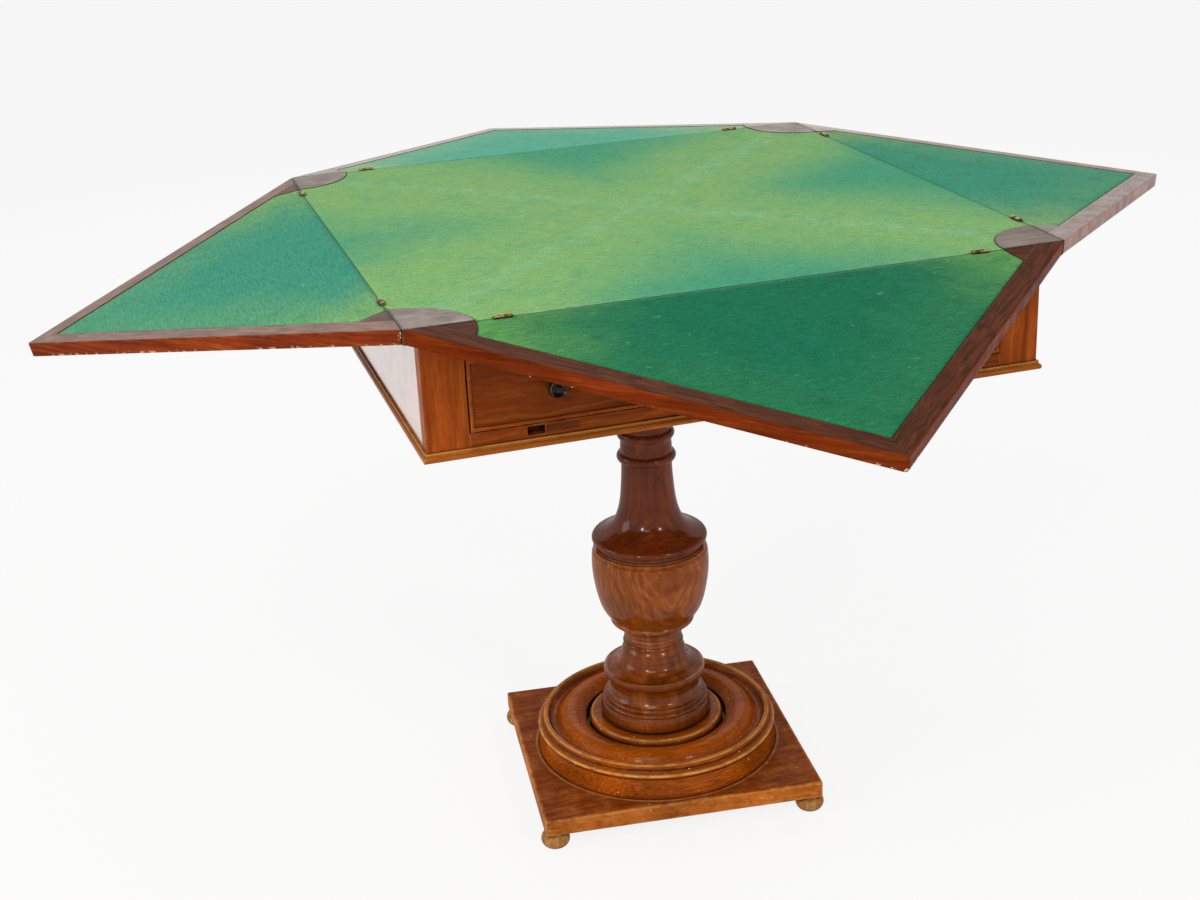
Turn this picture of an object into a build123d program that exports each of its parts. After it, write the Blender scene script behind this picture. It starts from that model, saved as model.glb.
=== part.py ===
from build123d import *
from math import cos, radians, sin, sqrt
import os

os.makedirs("parts", exist_ok=True)

# The origin is on the floor, under the middle of the column. +Z is up and +X runs along
# the front of the table, so the drawer opens towards -Y. All sizes are in millimetres.

# Top and leaves
top_width = 736
board_thick = 17
baize_thick = 1.0
baize_bed = 1.5          # how deep the baize is let in below the plane of the hinge pins
veneer_drop = 0.3        # wood faces lie this far below the pins, so closed leaves stay clear
joint_gap = 0.3          # board edge to pin axis, on each side of a hinge line
leaf_trim = 0.8          # kept off each slanted leaf edge, so four closed leaves don't rub
rim_width = 24
tip_round = 4
corner_round = 1.6       # at the two sharp corners of a leaf
arris_round = 1.5
ear_radius = 74
ear_gap = 0.2
droop = {"front": 9.5, "right": 6.6, "back": 5.7, "left": 11.5}
bearing = {"front": -90, "right": 0, "back": 90, "left": 180}

# Hinges: three knuckles each, two hinges to a side
hinge_inset = 103        # corner of the top to the middle of the barrel
barrel_length = 19
knuckle_radius = 2.3
pin_radius = 0.9
pin_play = 0.05
knuckle_play = 0.3
flap_reach = 16
flap_thick = 1.0
hinge_screw_radius = 1.0
hinge_screw_head = 1.9
hinge_screw_length = 9
hinge_screw_inset = 5
hinge_screw_play = 0.05

# Case: four walls, framed front, moulding below
case_width = 700
case_height = 114
wall_thick = 18
frame_thick = 20
moulding_height = 10
moulding_width = 37
moulding_reach = 5
stile_width = 46
top_rail_height = 18
bottom_rail_height = 15
latch_width = 19
latch_height = 10
latch_depth = 12
latch_place = -233
latch_height_share = 0.55
floor_thick = 8
lower_bearer_thick = 40
upper_bearer_thick = 22
block_side = 24
runner_width = 24

# Drawer
drawer_gap = 1.4
drawer_stop_gap = 0.3
drawer_wall = 10
drawer_wall_height = 66
drawer_floor_thick = 6
drawer_floor_lift = 6
groove_depth = 3
bead_width = 4
bead_reach = 2
knob_place = 211
knob_radius = 11
knob_length = 19
knob_screw_radius = 2
knob_screw_head = 4

# Turning gear under the top
turning_disc_radius = 170
turning_disc_thick = 10
pivot_radius = 8
pivot_play = 0.05
pivot_head_radius = 17
pivot_head_thick = 4
washer_radius = 19
washer_thick = 2
nut_across_flats = 26
nut_thick = 10
peg_radius = 6
peg_place = 38
peg_play = 0.5
peg_drop = 14
slot_depth = 16
full_turn = 45

# Column and base
foot_radius = 18.5
foot_height = 21
foot_inset = 14
foot_pad_radius = 9
plinth_width = 366
plinth_depth = 344
plinth_thick = 23
plinth_turn = -6.75      # the base stands a little askew under the case
plinth_round = 2
disc_radius = 161
disc_height = 47
pedestal_radius = 74
pedestal_height = 133
vase_radius = 77
vase_height = 115
shaft_radius = 75.5
shaft_height = 271
capital_side = 150
capital_thick = 22
echinus_radius = 66
echinus_height = 16
tenon_radius = 22
tenon_length = 32
glue_gap = 0.05
capital_screw_radius = 2.5
capital_screw_head = 5
capital_screw_length = 44
capital_screw_inset = 16

overrun = 5              # how far a cutter reaches past what it cuts


# Heights and half sizes that follow from those above
top_half = top_width / 2
hinge_place = top_half - hinge_inset
case_half = case_width / 2
plinth_top = foot_height + plinth_thick
disc_seat_share = 0.915
pedestal_base = plinth_top + disc_height * disc_seat_share
vase_base = pedestal_base + pedestal_height
shaft_base = vase_base + vase_height
capital_base = shaft_base + shaft_height
case_base = capital_base + echinus_height + capital_thick
case_top = case_base + case_height
board_base = case_top + turning_disc_thick
pin_height = board_base + board_thick
bed_height = pin_height - baize_bed
opening_half = case_half - stile_width
opening_base = case_base + bottom_rail_height
opening_top = case_top - top_rail_height
inner_half = case_half - wall_thick
case_front = -case_half
frame_back = case_front + frame_thick


def between(low, high):
    """Middle and length of the stretch from low to high."""
    return (low + high) / 2, high - low


def slab(x, y, z, mode=Mode.ADD):
    """Add to the piece in hand, or cut from it, a box from its low and high x, y and z."""
    (cx, dx), (cy, dy), (cz, dz) = between(*x), between(*y), between(*z)
    with Locations((cx, cy, cz)):
        Box(dx, dy, dz, mode=mode)


def peg(radius, base, top, place=(0, 0), mode=Mode.ADD):
    """Add or cut an upright cylinder that stands from base to top at a place in plan."""
    with Locations((*place, base)):
        Cylinder(radius, top - base, align=(Align.CENTER, Align.CENTER, Align.MIN), mode=mode)


def outline(segments, radius, base, height):
    """Draw a turned profile: shares of a radius and a height, joined end to end."""
    end = (0, base)
    for kind, shares in segments:
        points = [end] + [(radius * r, base + height * z) for r, z in shares]
        if kind == "curve":
            Spline(*points)
        elif kind == "arc":
            ThreePointArc(*points)
        else:
            Polyline(*points)
        end = points[-1]
    Polyline(end, (0, end[1]), (0, base))


def finish(piece, label):
    """Name a finished piece and write it out under that name."""
    piece.part.label = label
    export_step(piece.part, f"parts/{label}.step")


# Base: plinth on four bun feet, a dished disc on top
plinth_plane = Plane.XY.rotated((0, 0, plinth_turn))
corners = [(-1, -1), (1, -1), (-1, 1), (1, 1)]
foot_shares = [
    ("line", [(foot_pad_radius / foot_radius, 0)]),
    ("curve", [(0.86, 0.16), (1, 0.47), (0.9, 0.78), (0.68, 0.9)]),
    ("line", [(0.68, 1)]),
]

with BuildPart() as bun_feet:
    for toward_x, toward_y in corners:
        foot_x = toward_x * (plinth_width / 2 - foot_inset)
        foot_y = toward_y * (plinth_depth / 2 - foot_inset)
        foot_middle = plinth_plane.from_local_coords((foot_x, foot_y, 0))
        with BuildSketch(Plane(foot_middle, x_dir=(1, 0, 0), z_dir=(0, -1, 0))):
            with BuildLine():
                outline(foot_shares, foot_radius, 0, foot_height)
            make_face()
        revolve(axis=Axis(foot_middle, (0, 0, 1)))
finish(bun_feet, "bun_feet")

with BuildPart() as base_plate:
    with BuildSketch(plinth_plane.offset(foot_height)):
        Rectangle(plinth_width, plinth_depth)
    extrude(amount=plinth_thick)
    fillet(base_plate.edges().filter_by(GeomType.LINE), plinth_round)
finish(base_plate, "base_plate")

disc_shares = [
    ("line", [(1, 0), (0.985, 0.57), (0.975, 0.58)]),
    ("arc", [(0.997, 0.65), (0.972, 0.73)]),
    ("line", [(0.955, 0.75), (0.948, 0.78)]),
    ("arc", [(0.957, 0.86), (0.935, 0.95)]),
    ("line", [(0.918, 0.955), (0.912, 0.92)]),
    ("arc", [(0.872, 0.73), (0.82, 0.8)]),
    ("curve", [(0.73, 1), (0.65, 0.93), (0.59, 0.8)]),
    ("line", [(0.59, 0.6), (0.562, 0.6), (0.562, 0.74)]),
    ("arc", [(0.548, 0.87), (0.51, disc_seat_share)]),
]
with BuildPart() as base_disc:
    with BuildSketch(Plane.XZ):
        with BuildLine():
            outline(disc_shares, disc_radius, plinth_top, disc_height)
        make_face()
    revolve(axis=Axis.Z)
    peg(tenon_radius + glue_gap, pedestal_base - tenon_length, pedestal_base + overrun,
        mode=Mode.SUBTRACT)
finish(base_disc, "base_disc")

# Column: three turned lengths, each tenoned into the next, under a square capital
pedestal_shares = [
    ("line", [(0.965, 0), (0.975, 0.01)]),
    ("arc", [(1, 0.085), (0.965, 0.155)]),
    ("line", [(0.95, 0.158)]),
    ("arc", [(0.958, 0.178), (0.925, 0.2)]),
    ("line", [(0.91, 0.203)]),
    ("arc", [(0.918, 0.222), (0.88, 0.246)]),
    ("line", [(0.855, 0.25)]),
    ("arc", [(0.785, 0.33), (0.82, 0.41)]),
    ("line", [(0.875, 0.445), (0.905, 0.46)]),
    ("arc", [(0.917, 0.493), (0.905, 0.525)]),
    ("curve", [(0.73, 0.56), (0.635, 0.61), (0.59, 0.68), (0.53, 0.765)]),
    ("line", [(0.522, 0.775)]),
    ("arc", [(0.545, 0.8), (0.522, 0.825)]),
    ("line", [(0.508, 0.83), (0.508, 0.85)]),
    ("arc", [(0.52, 0.865), (0.506, 0.88)]),
    ("line", [(0.5, 0.95), (0.53, 1)]),
]
with BuildPart() as column_pedestal:
    with BuildSketch(Plane.XZ):
        with BuildLine():
            outline(pedestal_shares, pedestal_radius, pedestal_base, pedestal_height)
        make_face()
    revolve(axis=Axis.Z)
    peg(tenon_radius, pedestal_base - tenon_length, pedestal_base)
    peg(tenon_radius, vase_base, vase_base + tenon_length)
finish(column_pedestal, "column_pedestal")

vase_shares = [
    ("line", [(0.52, 0), (0.58, 0.012)]),
    ("arc", [(0.66, 0.022), (0.708, 0.04)]),
    ("arc", [(0.722, 0.065), (0.71, 0.09)]),
    ("line", [(0.698, 0.1)]),
    ("curve", [(0.81, 0.18), (0.925, 0.383), (0.975, 0.56), (1, 0.78), (0.985, 0.92)]),
    ("line", [(0.955, 0.945)]),
    ("arc", [(0.968, 0.963), (0.955, 0.98)]),
    ("line", [(0.92, 0.985), (0.92, 1)]),
]
with BuildPart() as column_vase:
    with BuildSketch(Plane.XZ):
        with BuildLine():
            outline(vase_shares, vase_radius, vase_base, vase_height)
        make_face()
    revolve(axis=Axis.Z)
    peg(tenon_radius + glue_gap, vase_base - overrun, vase_base + tenon_length, mode=Mode.SUBTRACT)
    peg(tenon_radius + glue_gap, shaft_base - tenon_length, shaft_base + overrun, mode=Mode.SUBTRACT)
finish(column_vase, "column_vase")

shaft_shares = [
    ("line", [(0.92, 0), (0.92, 0.018), (0.975, 0.026)]),
    ("arc", [(1, 0.041), (0.97, 0.055)]),
    ("curve", [(0.78, 0.078), (0.63, 0.115), (0.54, 0.166), (0.488, 0.225),
               (0.455, 0.31), (0.436, 0.4), (0.436, 0.43)]),
    ("line", [(0.46, 0.434)]),
    ("arc", [(0.508, 0.456), (0.46, 0.478)]),
    ("line", [(0.445, 0.482), (0.436, 0.535), (0.452, 0.55)]),
    ("arc", [(0.494, 0.57), (0.452, 0.59)]),
    ("line", [(0.43, 0.594)]),
    ("curve", [(0.425, 0.7), (0.45, 0.82), (0.53, 0.92), (0.66, 0.985)]),
    ("line", [(0.68, 1)]),
]
shaft_tenon_top = case_base + floor_thick + lower_bearer_thick
with BuildPart() as column_shaft:
    with BuildSketch(Plane.XZ):
        with BuildLine():
            outline(shaft_shares, shaft_radius, shaft_base, shaft_height)
        make_face()
    revolve(axis=Axis.Z)
    peg(tenon_radius, shaft_base - tenon_length, shaft_base)
    peg(tenon_radius, capital_base, shaft_tenon_top)
finish(column_shaft, "column_shaft")

capital_plate_base = case_base - capital_thick
echinus_shares = [
    ("line", [(0.79, 0)]),
    ("curve", [(0.86, 0.3), (0.97, 0.62), (1, 1)]),
]
screw_spacing = capital_side - 2 * capital_screw_inset
with BuildPart() as column_capital:
    with BuildSketch(Plane.XZ):
        with BuildLine():
            outline(echinus_shares, echinus_radius, capital_base, echinus_height)
        make_face()
    revolve(axis=Axis.Z)
    with BuildSketch(Plane.XY.offset(capital_plate_base)):
        Rectangle(capital_side, capital_side)
    extrude(amount=capital_thick)
    peg(tenon_radius + glue_gap, capital_base - overrun, case_base + overrun, mode=Mode.SUBTRACT)
    with Locations(Plane.XY.offset(capital_plate_base)):
        with GridLocations(screw_spacing, screw_spacing, 2, 2):
            with Locations(Rotation(180, 0, 0)):
                CounterSinkHole(capital_screw_radius, capital_screw_head, counter_sink_angle=90)
finish(column_capital, "column_capital")

with BuildPart() as capital_screws:
    with Locations(Plane.XY.offset(capital_plate_base)):
        with GridLocations(screw_spacing, screw_spacing, 2, 2):
            Cone(capital_screw_head, capital_screw_radius, capital_screw_head - capital_screw_radius,
                 align=(Align.CENTER, Align.CENTER, Align.MIN))
            Cylinder(capital_screw_radius, capital_screw_length,
                     align=(Align.CENTER, Align.CENTER, Align.MIN))
finish(capital_screws, "capital_screws")

# Case: walls, framed front and mitred moulding
stile_span = (opening_half, case_half)
with BuildPart() as front_stiles:
    slab((-stile_span[1], -stile_span[0]), (case_front, frame_back), (case_base, case_top))
    slab(stile_span, (case_front, frame_back), (case_base, case_top))
finish(front_stiles, "front_stiles")

with BuildPart() as rail_top:
    slab((-opening_half, opening_half), (case_front, frame_back), (opening_top, case_top))
finish(rail_top, "rail_top")

latch_middle = case_base + bottom_rail_height * latch_height_share
with BuildPart() as rail_bottom:
    slab((-opening_half, opening_half), (case_front, frame_back), (case_base, opening_base))
    slab((latch_place - latch_width / 2, latch_place + latch_width / 2),
         (case_front - overrun, case_front + latch_depth),
         (latch_middle - latch_height / 2, latch_middle + latch_height / 2), mode=Mode.SUBTRACT)
finish(rail_bottom, "rail_bottom")

with BuildPart() as case_side_left:
    slab((-case_half, -inner_half), (frame_back, case_half), (case_base, case_top))
finish(case_side_left, "case_side_left")

with BuildPart() as case_side_right:
    slab((inner_half, case_half), (frame_back, case_half), (case_base, case_top))
finish(case_side_right, "case_side_right")

with BuildPart() as case_back:
    slab((-inner_half, inner_half), (inner_half, case_half), (case_base, case_top))
finish(case_back, "case_back")

# The moulding is one strip swept round the case: a nosing under a small step.
moulding_base = case_base - moulding_height
moulding_out = case_half + moulding_reach
moulding_in = moulding_out - moulding_width
step_reach_share = 0.45
step_height_share = 0.32
nosing_round_share = 0.3
bead_round_share = 0.3
with BuildPart() as case_moulding:
    with BuildSketch(Plane.XY.offset(moulding_base)):
        Rectangle(2 * moulding_out, 2 * moulding_out)
        Rectangle(2 * moulding_in, 2 * moulding_in, mode=Mode.SUBTRACT)
    extrude(amount=moulding_height * (1 - step_height_share))
    nosing = case_moulding.faces().filter_by(Axis.Z).edges().filter_by(
        lambda edge: max(abs(edge.center().X), abs(edge.center().Y)) > case_half)
    fillet(nosing, moulding_height * nosing_round_share)
    step_out = case_half + moulding_reach * step_reach_share
    with BuildSketch(Plane.XY.offset(case_base - moulding_height * step_height_share)):
        Rectangle(2 * step_out, 2 * step_out)
        Rectangle(2 * moulding_in, 2 * moulding_in, mode=Mode.SUBTRACT)
    extrude(amount=moulding_height * step_height_share)
    split(bisect_by=Plane.XZ.rotated((0, 0, 45)), keep=Keep.BOTH)
    split(bisect_by=Plane.XZ.rotated((0, 0, -45)), keep=Keep.BOTH)
finish(case_moulding, "case_moulding")

# Inside the case: floor, bearers that take the column and the pivot, glue blocks, runners
bearer_front = -capital_side / 2
bearer_back = capital_side / 2
with BuildPart() as case_floor:
    slab((-inner_half, inner_half), (frame_back, inner_half), (case_base, case_base + floor_thick))
    peg(tenon_radius + glue_gap, case_base - overrun, case_base + floor_thick + overrun,
        mode=Mode.SUBTRACT)
    with Locations(Plane.XY.offset(case_base)):
        with GridLocations(screw_spacing, screw_spacing, 2, 2):
            Hole(capital_screw_radius)
finish(case_floor, "case_floor")

with BuildPart() as lower_bearer:
    slab((-inner_half, inner_half), (bearer_front, bearer_back),
         (case_base + floor_thick, shaft_tenon_top))
    peg(tenon_radius + glue_gap, case_base, shaft_tenon_top + overrun, mode=Mode.SUBTRACT)
    with Locations(Plane.XY.offset(case_base)):
        with GridLocations(screw_spacing, screw_spacing, 2, 2):
            Cylinder(capital_screw_radius, capital_screw_length - capital_thick,
                     align=(Align.CENTER, Align.CENTER, Align.MIN), mode=Mode.SUBTRACT)
finish(lower_bearer, "lower_bearer")

upper_bearer_base = case_top - upper_bearer_thick
with BuildPart() as upper_bearer:
    slab((-inner_half, inner_half), (bearer_front, bearer_back), (upper_bearer_base, case_top))
    peg(pivot_radius + pivot_play, upper_bearer_base - overrun, case_top + overrun,
        mode=Mode.SUBTRACT)
    with BuildSketch(Plane.XY.offset(case_top)):
        SlotArc(CenterArc((0, 0), peg_place, 180, full_turn), height=2 * (peg_radius + peg_play))
    extrude(amount=-slot_depth, mode=Mode.SUBTRACT)
finish(upper_bearer, "upper_bearer")

block_out = inner_half
block_in = inner_half - block_side
with BuildPart() as corner_blocks:
    for toward_x, toward_y in corners:
        corner_y = frame_back if toward_y < 0 else inner_half
        with BuildSketch(Plane.XY.offset(case_base + floor_thick)):
            with BuildLine():
                Polyline(
                    (toward_x * block_out, corner_y),
                    (toward_x * block_in, corner_y),
                    (toward_x * block_out, corner_y - toward_y * block_side),
                    close=True,
                )
            make_face()
        extrude(amount=case_height - floor_thick)
finish(corner_blocks, "corner_blocks")

drawer_half = opening_half - drawer_gap
runner_span = (drawer_half - runner_width, drawer_half)
with BuildPart() as drawer_runners:
    for toward_x in (-1, 1):
        slab(sorted(toward_x * edge for edge in runner_span), (frame_back, bearer_front),
             (case_base + floor_thick, opening_base))
finish(drawer_runners, "drawer_runners")

guide_span = (opening_half, inner_half)
guide_front = frame_back + block_side
with BuildPart() as drawer_guides:
    for toward_x in (-1, 1):
        slab(sorted(toward_x * edge for edge in guide_span), (guide_front, bearer_front),
             (case_base + floor_thick, case_top))
finish(drawer_guides, "drawer_guides")

# Drawer: framed front with a raised bead, grooved sides, two turned knobs
front_base = opening_base + drawer_gap
front_top = opening_top - drawer_gap
side_out = drawer_half - drawer_gap
side_in = side_out - drawer_wall
floor_half = side_in + groove_depth
side_base = opening_base
side_top = side_base + drawer_wall_height
drawer_back_end = bearer_front - drawer_stop_gap
bottom_base = side_base + drawer_floor_lift
bottom_top = bottom_base + drawer_floor_thick
knob_height = between(front_base, front_top)[0]
knob_bore = knob_length / 2

with BuildPart() as drawer_front:
    slab((-drawer_half, drawer_half), (case_front, frame_back), (front_base, front_top))
    slab((-floor_half, floor_half), (frame_back - groove_depth, frame_back + overrun),
         (bottom_base, bottom_top), mode=Mode.SUBTRACT)
    with Locations(Plane((0, frame_back, knob_height), x_dir=(1, 0, 0), z_dir=(0, 1, 0))):
        with Locations((-knob_place, 0), (knob_place, 0)):
            Hole(knob_screw_radius)
finish(drawer_front, "drawer_front")

with BuildPart() as drawer_beading:
    with BuildSketch(Plane.XZ.offset(-case_front)):
        with Locations((0, knob_height)):
            Rectangle(2 * drawer_half, front_top - front_base)
            Rectangle(2 * (drawer_half - bead_width), front_top - front_base - 2 * bead_width,
                      mode=Mode.SUBTRACT)
    extrude(amount=bead_reach)
    fillet(drawer_beading.faces().sort_by(Axis.Y)[0].edges(), bead_width * bead_round_share)
finish(drawer_beading, "drawer_beading")

with BuildPart() as drawer_side_left:
    slab((-side_out, -side_in), (frame_back, drawer_back_end), (side_base, side_top))
    slab((-floor_half, -side_in + overrun), (frame_back - overrun, drawer_back_end + overrun),
         (bottom_base, bottom_top), mode=Mode.SUBTRACT)
finish(drawer_side_left, "drawer_side_left")

with BuildPart() as drawer_side_right:
    slab((side_in, side_out), (frame_back, drawer_back_end), (side_base, side_top))
    slab((side_in - overrun, floor_half), (frame_back - overrun, drawer_back_end + overrun),
         (bottom_base, bottom_top), mode=Mode.SUBTRACT)
finish(drawer_side_right, "drawer_side_right")

with BuildPart() as drawer_back:
    slab((-side_in, side_in), (drawer_back_end - drawer_wall, drawer_back_end),
         (bottom_top, side_top))
finish(drawer_back, "drawer_back")

with BuildPart() as drawer_floor:
    slab((-floor_half, floor_half), (frame_back - groove_depth, drawer_back_end),
         (bottom_base, bottom_top))
finish(drawer_floor, "drawer_floor")

knob_shares = [
    ("line", [(0.72, 0), (0.72, 0.1)]),
    ("curve", [(0.54, 0.26), (0.52, 0.4), (0.84, 0.54)]),
    ("arc", [(1, 0.74), (0.82, 0.98)]),
    ("curve", [(0.62, 0.88), (0.32, 0.82)]),
    ("line", [(0.28, 0.9), (0.12, 0.94)]),
]
with BuildPart() as drawer_knobs:
    for place in (-knob_place, knob_place):
        knob_foot = (place, case_front, knob_height)
        with BuildSketch(Plane(knob_foot, x_dir=(0, 0, 1), z_dir=(1, 0, 0))):
            with BuildLine():
                outline(knob_shares, knob_radius, 0, knob_length)
            make_face()
        revolve(axis=Axis(knob_foot, (0, -1, 0)))
        with Locations(Plane(knob_foot, x_dir=(1, 0, 0), z_dir=(0, 1, 0))):
            Hole(knob_screw_radius, depth=knob_bore)
finish(drawer_knobs, "drawer_knobs")

with BuildPart() as knob_screws:
    for place in (-knob_place, knob_place):
        with Locations(Plane((place, frame_back, knob_height), x_dir=(1, 0, 0), z_dir=(0, 1, 0))):
            Cylinder(knob_screw_head, knob_screw_radius,
                     align=(Align.CENTER, Align.CENTER, Align.MIN))
            Cylinder(knob_screw_radius, frame_thick + knob_bore,
                     align=(Align.CENTER, Align.CENTER, Align.MAX))
finish(knob_screws, "knob_screws")


# Turning gear: a disc under the top rides on the upper bearer and turns on a bolt
peg_at = (-peg_place, 0)
washer_top = upper_bearer_base - knuckle_play
nut_top = washer_top - washer_thick
bolt_end = nut_top - nut_thick - washer_thick
with BuildPart() as turning_disc:
    peg(turning_disc_radius, case_top, board_base)
    peg(pivot_radius, case_top - overrun, board_base + overrun, mode=Mode.SUBTRACT)
    peg(peg_radius, case_top - overrun, board_base + overrun, place=peg_at, mode=Mode.SUBTRACT)
finish(turning_disc, "turning_disc")

with BuildPart() as pivot_bolt:
    peg(pivot_radius, bolt_end, bed_height)
    peg(pivot_head_radius, bed_height - pivot_head_thick, bed_height)
finish(pivot_bolt, "pivot_bolt")

with BuildPart() as pivot_washer:
    peg(washer_radius, nut_top, washer_top)
    peg(pivot_radius, nut_top - overrun, washer_top + overrun, mode=Mode.SUBTRACT)
finish(pivot_washer, "pivot_washer")

with BuildPart() as pivot_nut:
    with BuildSketch(Plane.XY.offset(nut_top)):
        RegularPolygon(nut_across_flats / 2, 6, major_radius=False)
        Circle(pivot_radius, mode=Mode.SUBTRACT)
    extrude(amount=-nut_thick)
finish(pivot_nut, "pivot_nut")

with BuildPart() as stop_peg:
    peg(peg_radius, case_top - peg_drop, board_base, place=peg_at)
finish(stop_peg, "stop_peg")


# Top: a square board, hinged to a leaf along each side
def hinge_plane(side, tilt=0):
    """Plane on a hinge line: x along the pins, y outward, z up from a leaf drooping by tilt."""
    turn = radians(bearing[side])
    outward = Vector(cos(turn), sin(turn), 0)
    up = Vector(0, 0, 1)
    return Plane(
        origin=outward * top_half + up * pin_height,
        x_dir=(sin(turn), -cos(turn), 0),
        z_dir=outward * sin(radians(tilt)) + up * cos(radians(tilt)),
    )


def barrel(radius, length, place, mode=Mode.ADD):
    """Add or cut a cylinder on the pin axis."""
    with Locations((place, 0, 0)):
        Cylinder(radius, length, rotation=(0, 90, 0), mode=mode)


hinge_places = (-hinge_place, hinge_place)
knuckle_length = barrel_length / 3
groove_radius = knuckle_radius + knuckle_play
flap_half = barrel_length / 2
notch_half = flap_half + knuckle_play
screw_reach_share = 0.62
screw_places = [
    (place + toward * hinge_screw_inset, flap_reach * screw_reach_share)
    for place in hinge_places
    for toward in (-1, 1)
]


def flap(place, toward):
    """One half of a hinge in the hinge line's frame: board half toward -1, leaf half toward 1."""
    across = sorted((0, toward * flap_reach))
    slab((place - flap_half, place + flap_half), across, (-baize_bed - flap_thick, -baize_bed))
    ends = (place - knuckle_length, place + knuckle_length)
    own, other = (ends, (place,)) if toward < 0 else ((place,), ends)
    for middle in other:
        barrel(groove_radius, knuckle_length + pin_play, middle, mode=Mode.SUBTRACT)
    for middle in own:
        barrel(knuckle_radius, knuckle_length - 2 * pin_play, middle)
    barrel(pin_radius + pin_play, barrel_length + overrun, place, mode=Mode.SUBTRACT)


def flap_holes(toward):
    """Countersunk holes through the flaps on one side of a hinge line."""
    for x, y in screw_places:
        with Locations((x, toward * y, -baize_bed)):
            CounterSinkHole(hinge_screw_radius, hinge_screw_head, depth=flap_thick,
                            counter_sink_angle=90)


def flap_screws(toward):
    """The screws in those holes."""
    shank = hinge_screw_radius - hinge_screw_play
    head = hinge_screw_head - hinge_screw_play
    for x, y in screw_places:
        with Locations((x, toward * y, -baize_bed)):
            Cone(shank, head, head - shank, align=(Align.CENTER, Align.CENTER, Align.MAX))
            Cylinder(shank, hinge_screw_length, align=(Align.CENTER, Align.CENTER, Align.MAX))


def hinge_recess(toward):
    """Cut the grooves, flap pockets and screw holes of one hinge line into a board."""
    for place in hinge_places:
        barrel(groove_radius, 2 * notch_half, place, mode=Mode.SUBTRACT)
        slab((place - flap_half, place + flap_half), sorted((0, toward * flap_reach)),
             (-baize_bed - flap_thick, overrun), mode=Mode.SUBTRACT)
    for x, y in screw_places:
        with Locations((x, toward * y, -baize_bed)):
            Cylinder(hinge_screw_radius, hinge_screw_length,
                     align=(Align.CENTER, Align.CENTER, Align.MAX), mode=Mode.SUBTRACT)


board_half = top_half - joint_gap
notch_depth = groove_radius + knuckle_play
with BuildPart() as top_board:
    with BuildSketch(Plane.XY.offset(board_base)):
        RectangleRounded(2 * board_half, 2 * board_half, tip_round)
    extrude(amount=bed_height - board_base)
    peg(pivot_radius, board_base - overrun, bed_height + overrun, mode=Mode.SUBTRACT)
    peg(pivot_head_radius, bed_height - pivot_head_thick, bed_height + overrun, mode=Mode.SUBTRACT)
    for side in bearing:
        with Locations(hinge_plane(side)):
            hinge_recess(-1)
finish(top_board, "top_board")

with BuildPart() as corner_ears:
    with BuildSketch(Plane.XY.offset(bed_height)):
        with GridLocations(top_width, top_width, 2, 2):
            Circle(ear_radius)
        RectangleRounded(2 * board_half, 2 * board_half, tip_round, mode=Mode.INTERSECT)
    extrude(amount=baize_bed - veneer_drop)
finish(corner_ears, "corner_ears")

with BuildPart() as top_baize:
    with BuildSketch(Plane.XY.offset(bed_height)):
        Rectangle(2 * board_half, 2 * board_half)
        with GridLocations(top_width, top_width, 2, 2):
            Circle(ear_radius + ear_gap, mode=Mode.SUBTRACT)
        with GridLocations(2 * hinge_place, top_width, 2, 2):
            Rectangle(2 * notch_half, 2 * notch_depth, mode=Mode.SUBTRACT)
        with GridLocations(top_width, 2 * hinge_place, 2, 2):
            Rectangle(2 * notch_depth, 2 * notch_half, mode=Mode.SUBTRACT)
    extrude(amount=baize_thick)
finish(top_baize, "top_baize")

with BuildPart() as hinge_flaps_top:
    for side in bearing:
        with Locations(hinge_plane(side)):
            for place in hinge_places:
                flap(place, -1)
            flap_holes(-1)
finish(hinge_flaps_top, "hinge_flaps_top")

with BuildPart() as hinge_screws_top:
    for side in bearing:
        with Locations(hinge_plane(side)):
            flap_screws(-1)
finish(hinge_screws_top, "hinge_screws_top")

with BuildPart() as hinge_pins:
    for side in bearing:
        with Locations(hinge_plane(side)):
            for place in hinge_places:
                barrel(pin_radius, barrel_length, place)
finish(hinge_pins, "hinge_pins")

# Leaves: a mitred rim round a triangular panel, baize let in, ears at the two sharp corners.
# Each is drawn level and set down by its own droop. The edge at the hinge line is cut upright,
# so it bears on the board and holds the leaf there.
rim_reach = top_half - leaf_trim
panel_reach = rim_reach - rim_width * sqrt(2)
baize_reach = panel_reach - ear_gap * sqrt(2)


def triangle(reach, mode=Mode.ADD):
    """Add to the sketch in hand, or cut from it, a half square standing on the hinge line."""
    Polygon((-reach, 0), (reach, 0), (0, reach), align=None, mode=mode)


def trim_to_hinge(side):
    """Cut the piece in hand upright, just clear of the edge of the board."""
    level = hinge_plane(side)
    split(bisect_by=Plane(level.origin + level.y_dir * joint_gap, z_dir=level.y_dir),
          keep=Keep.TOP)


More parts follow.
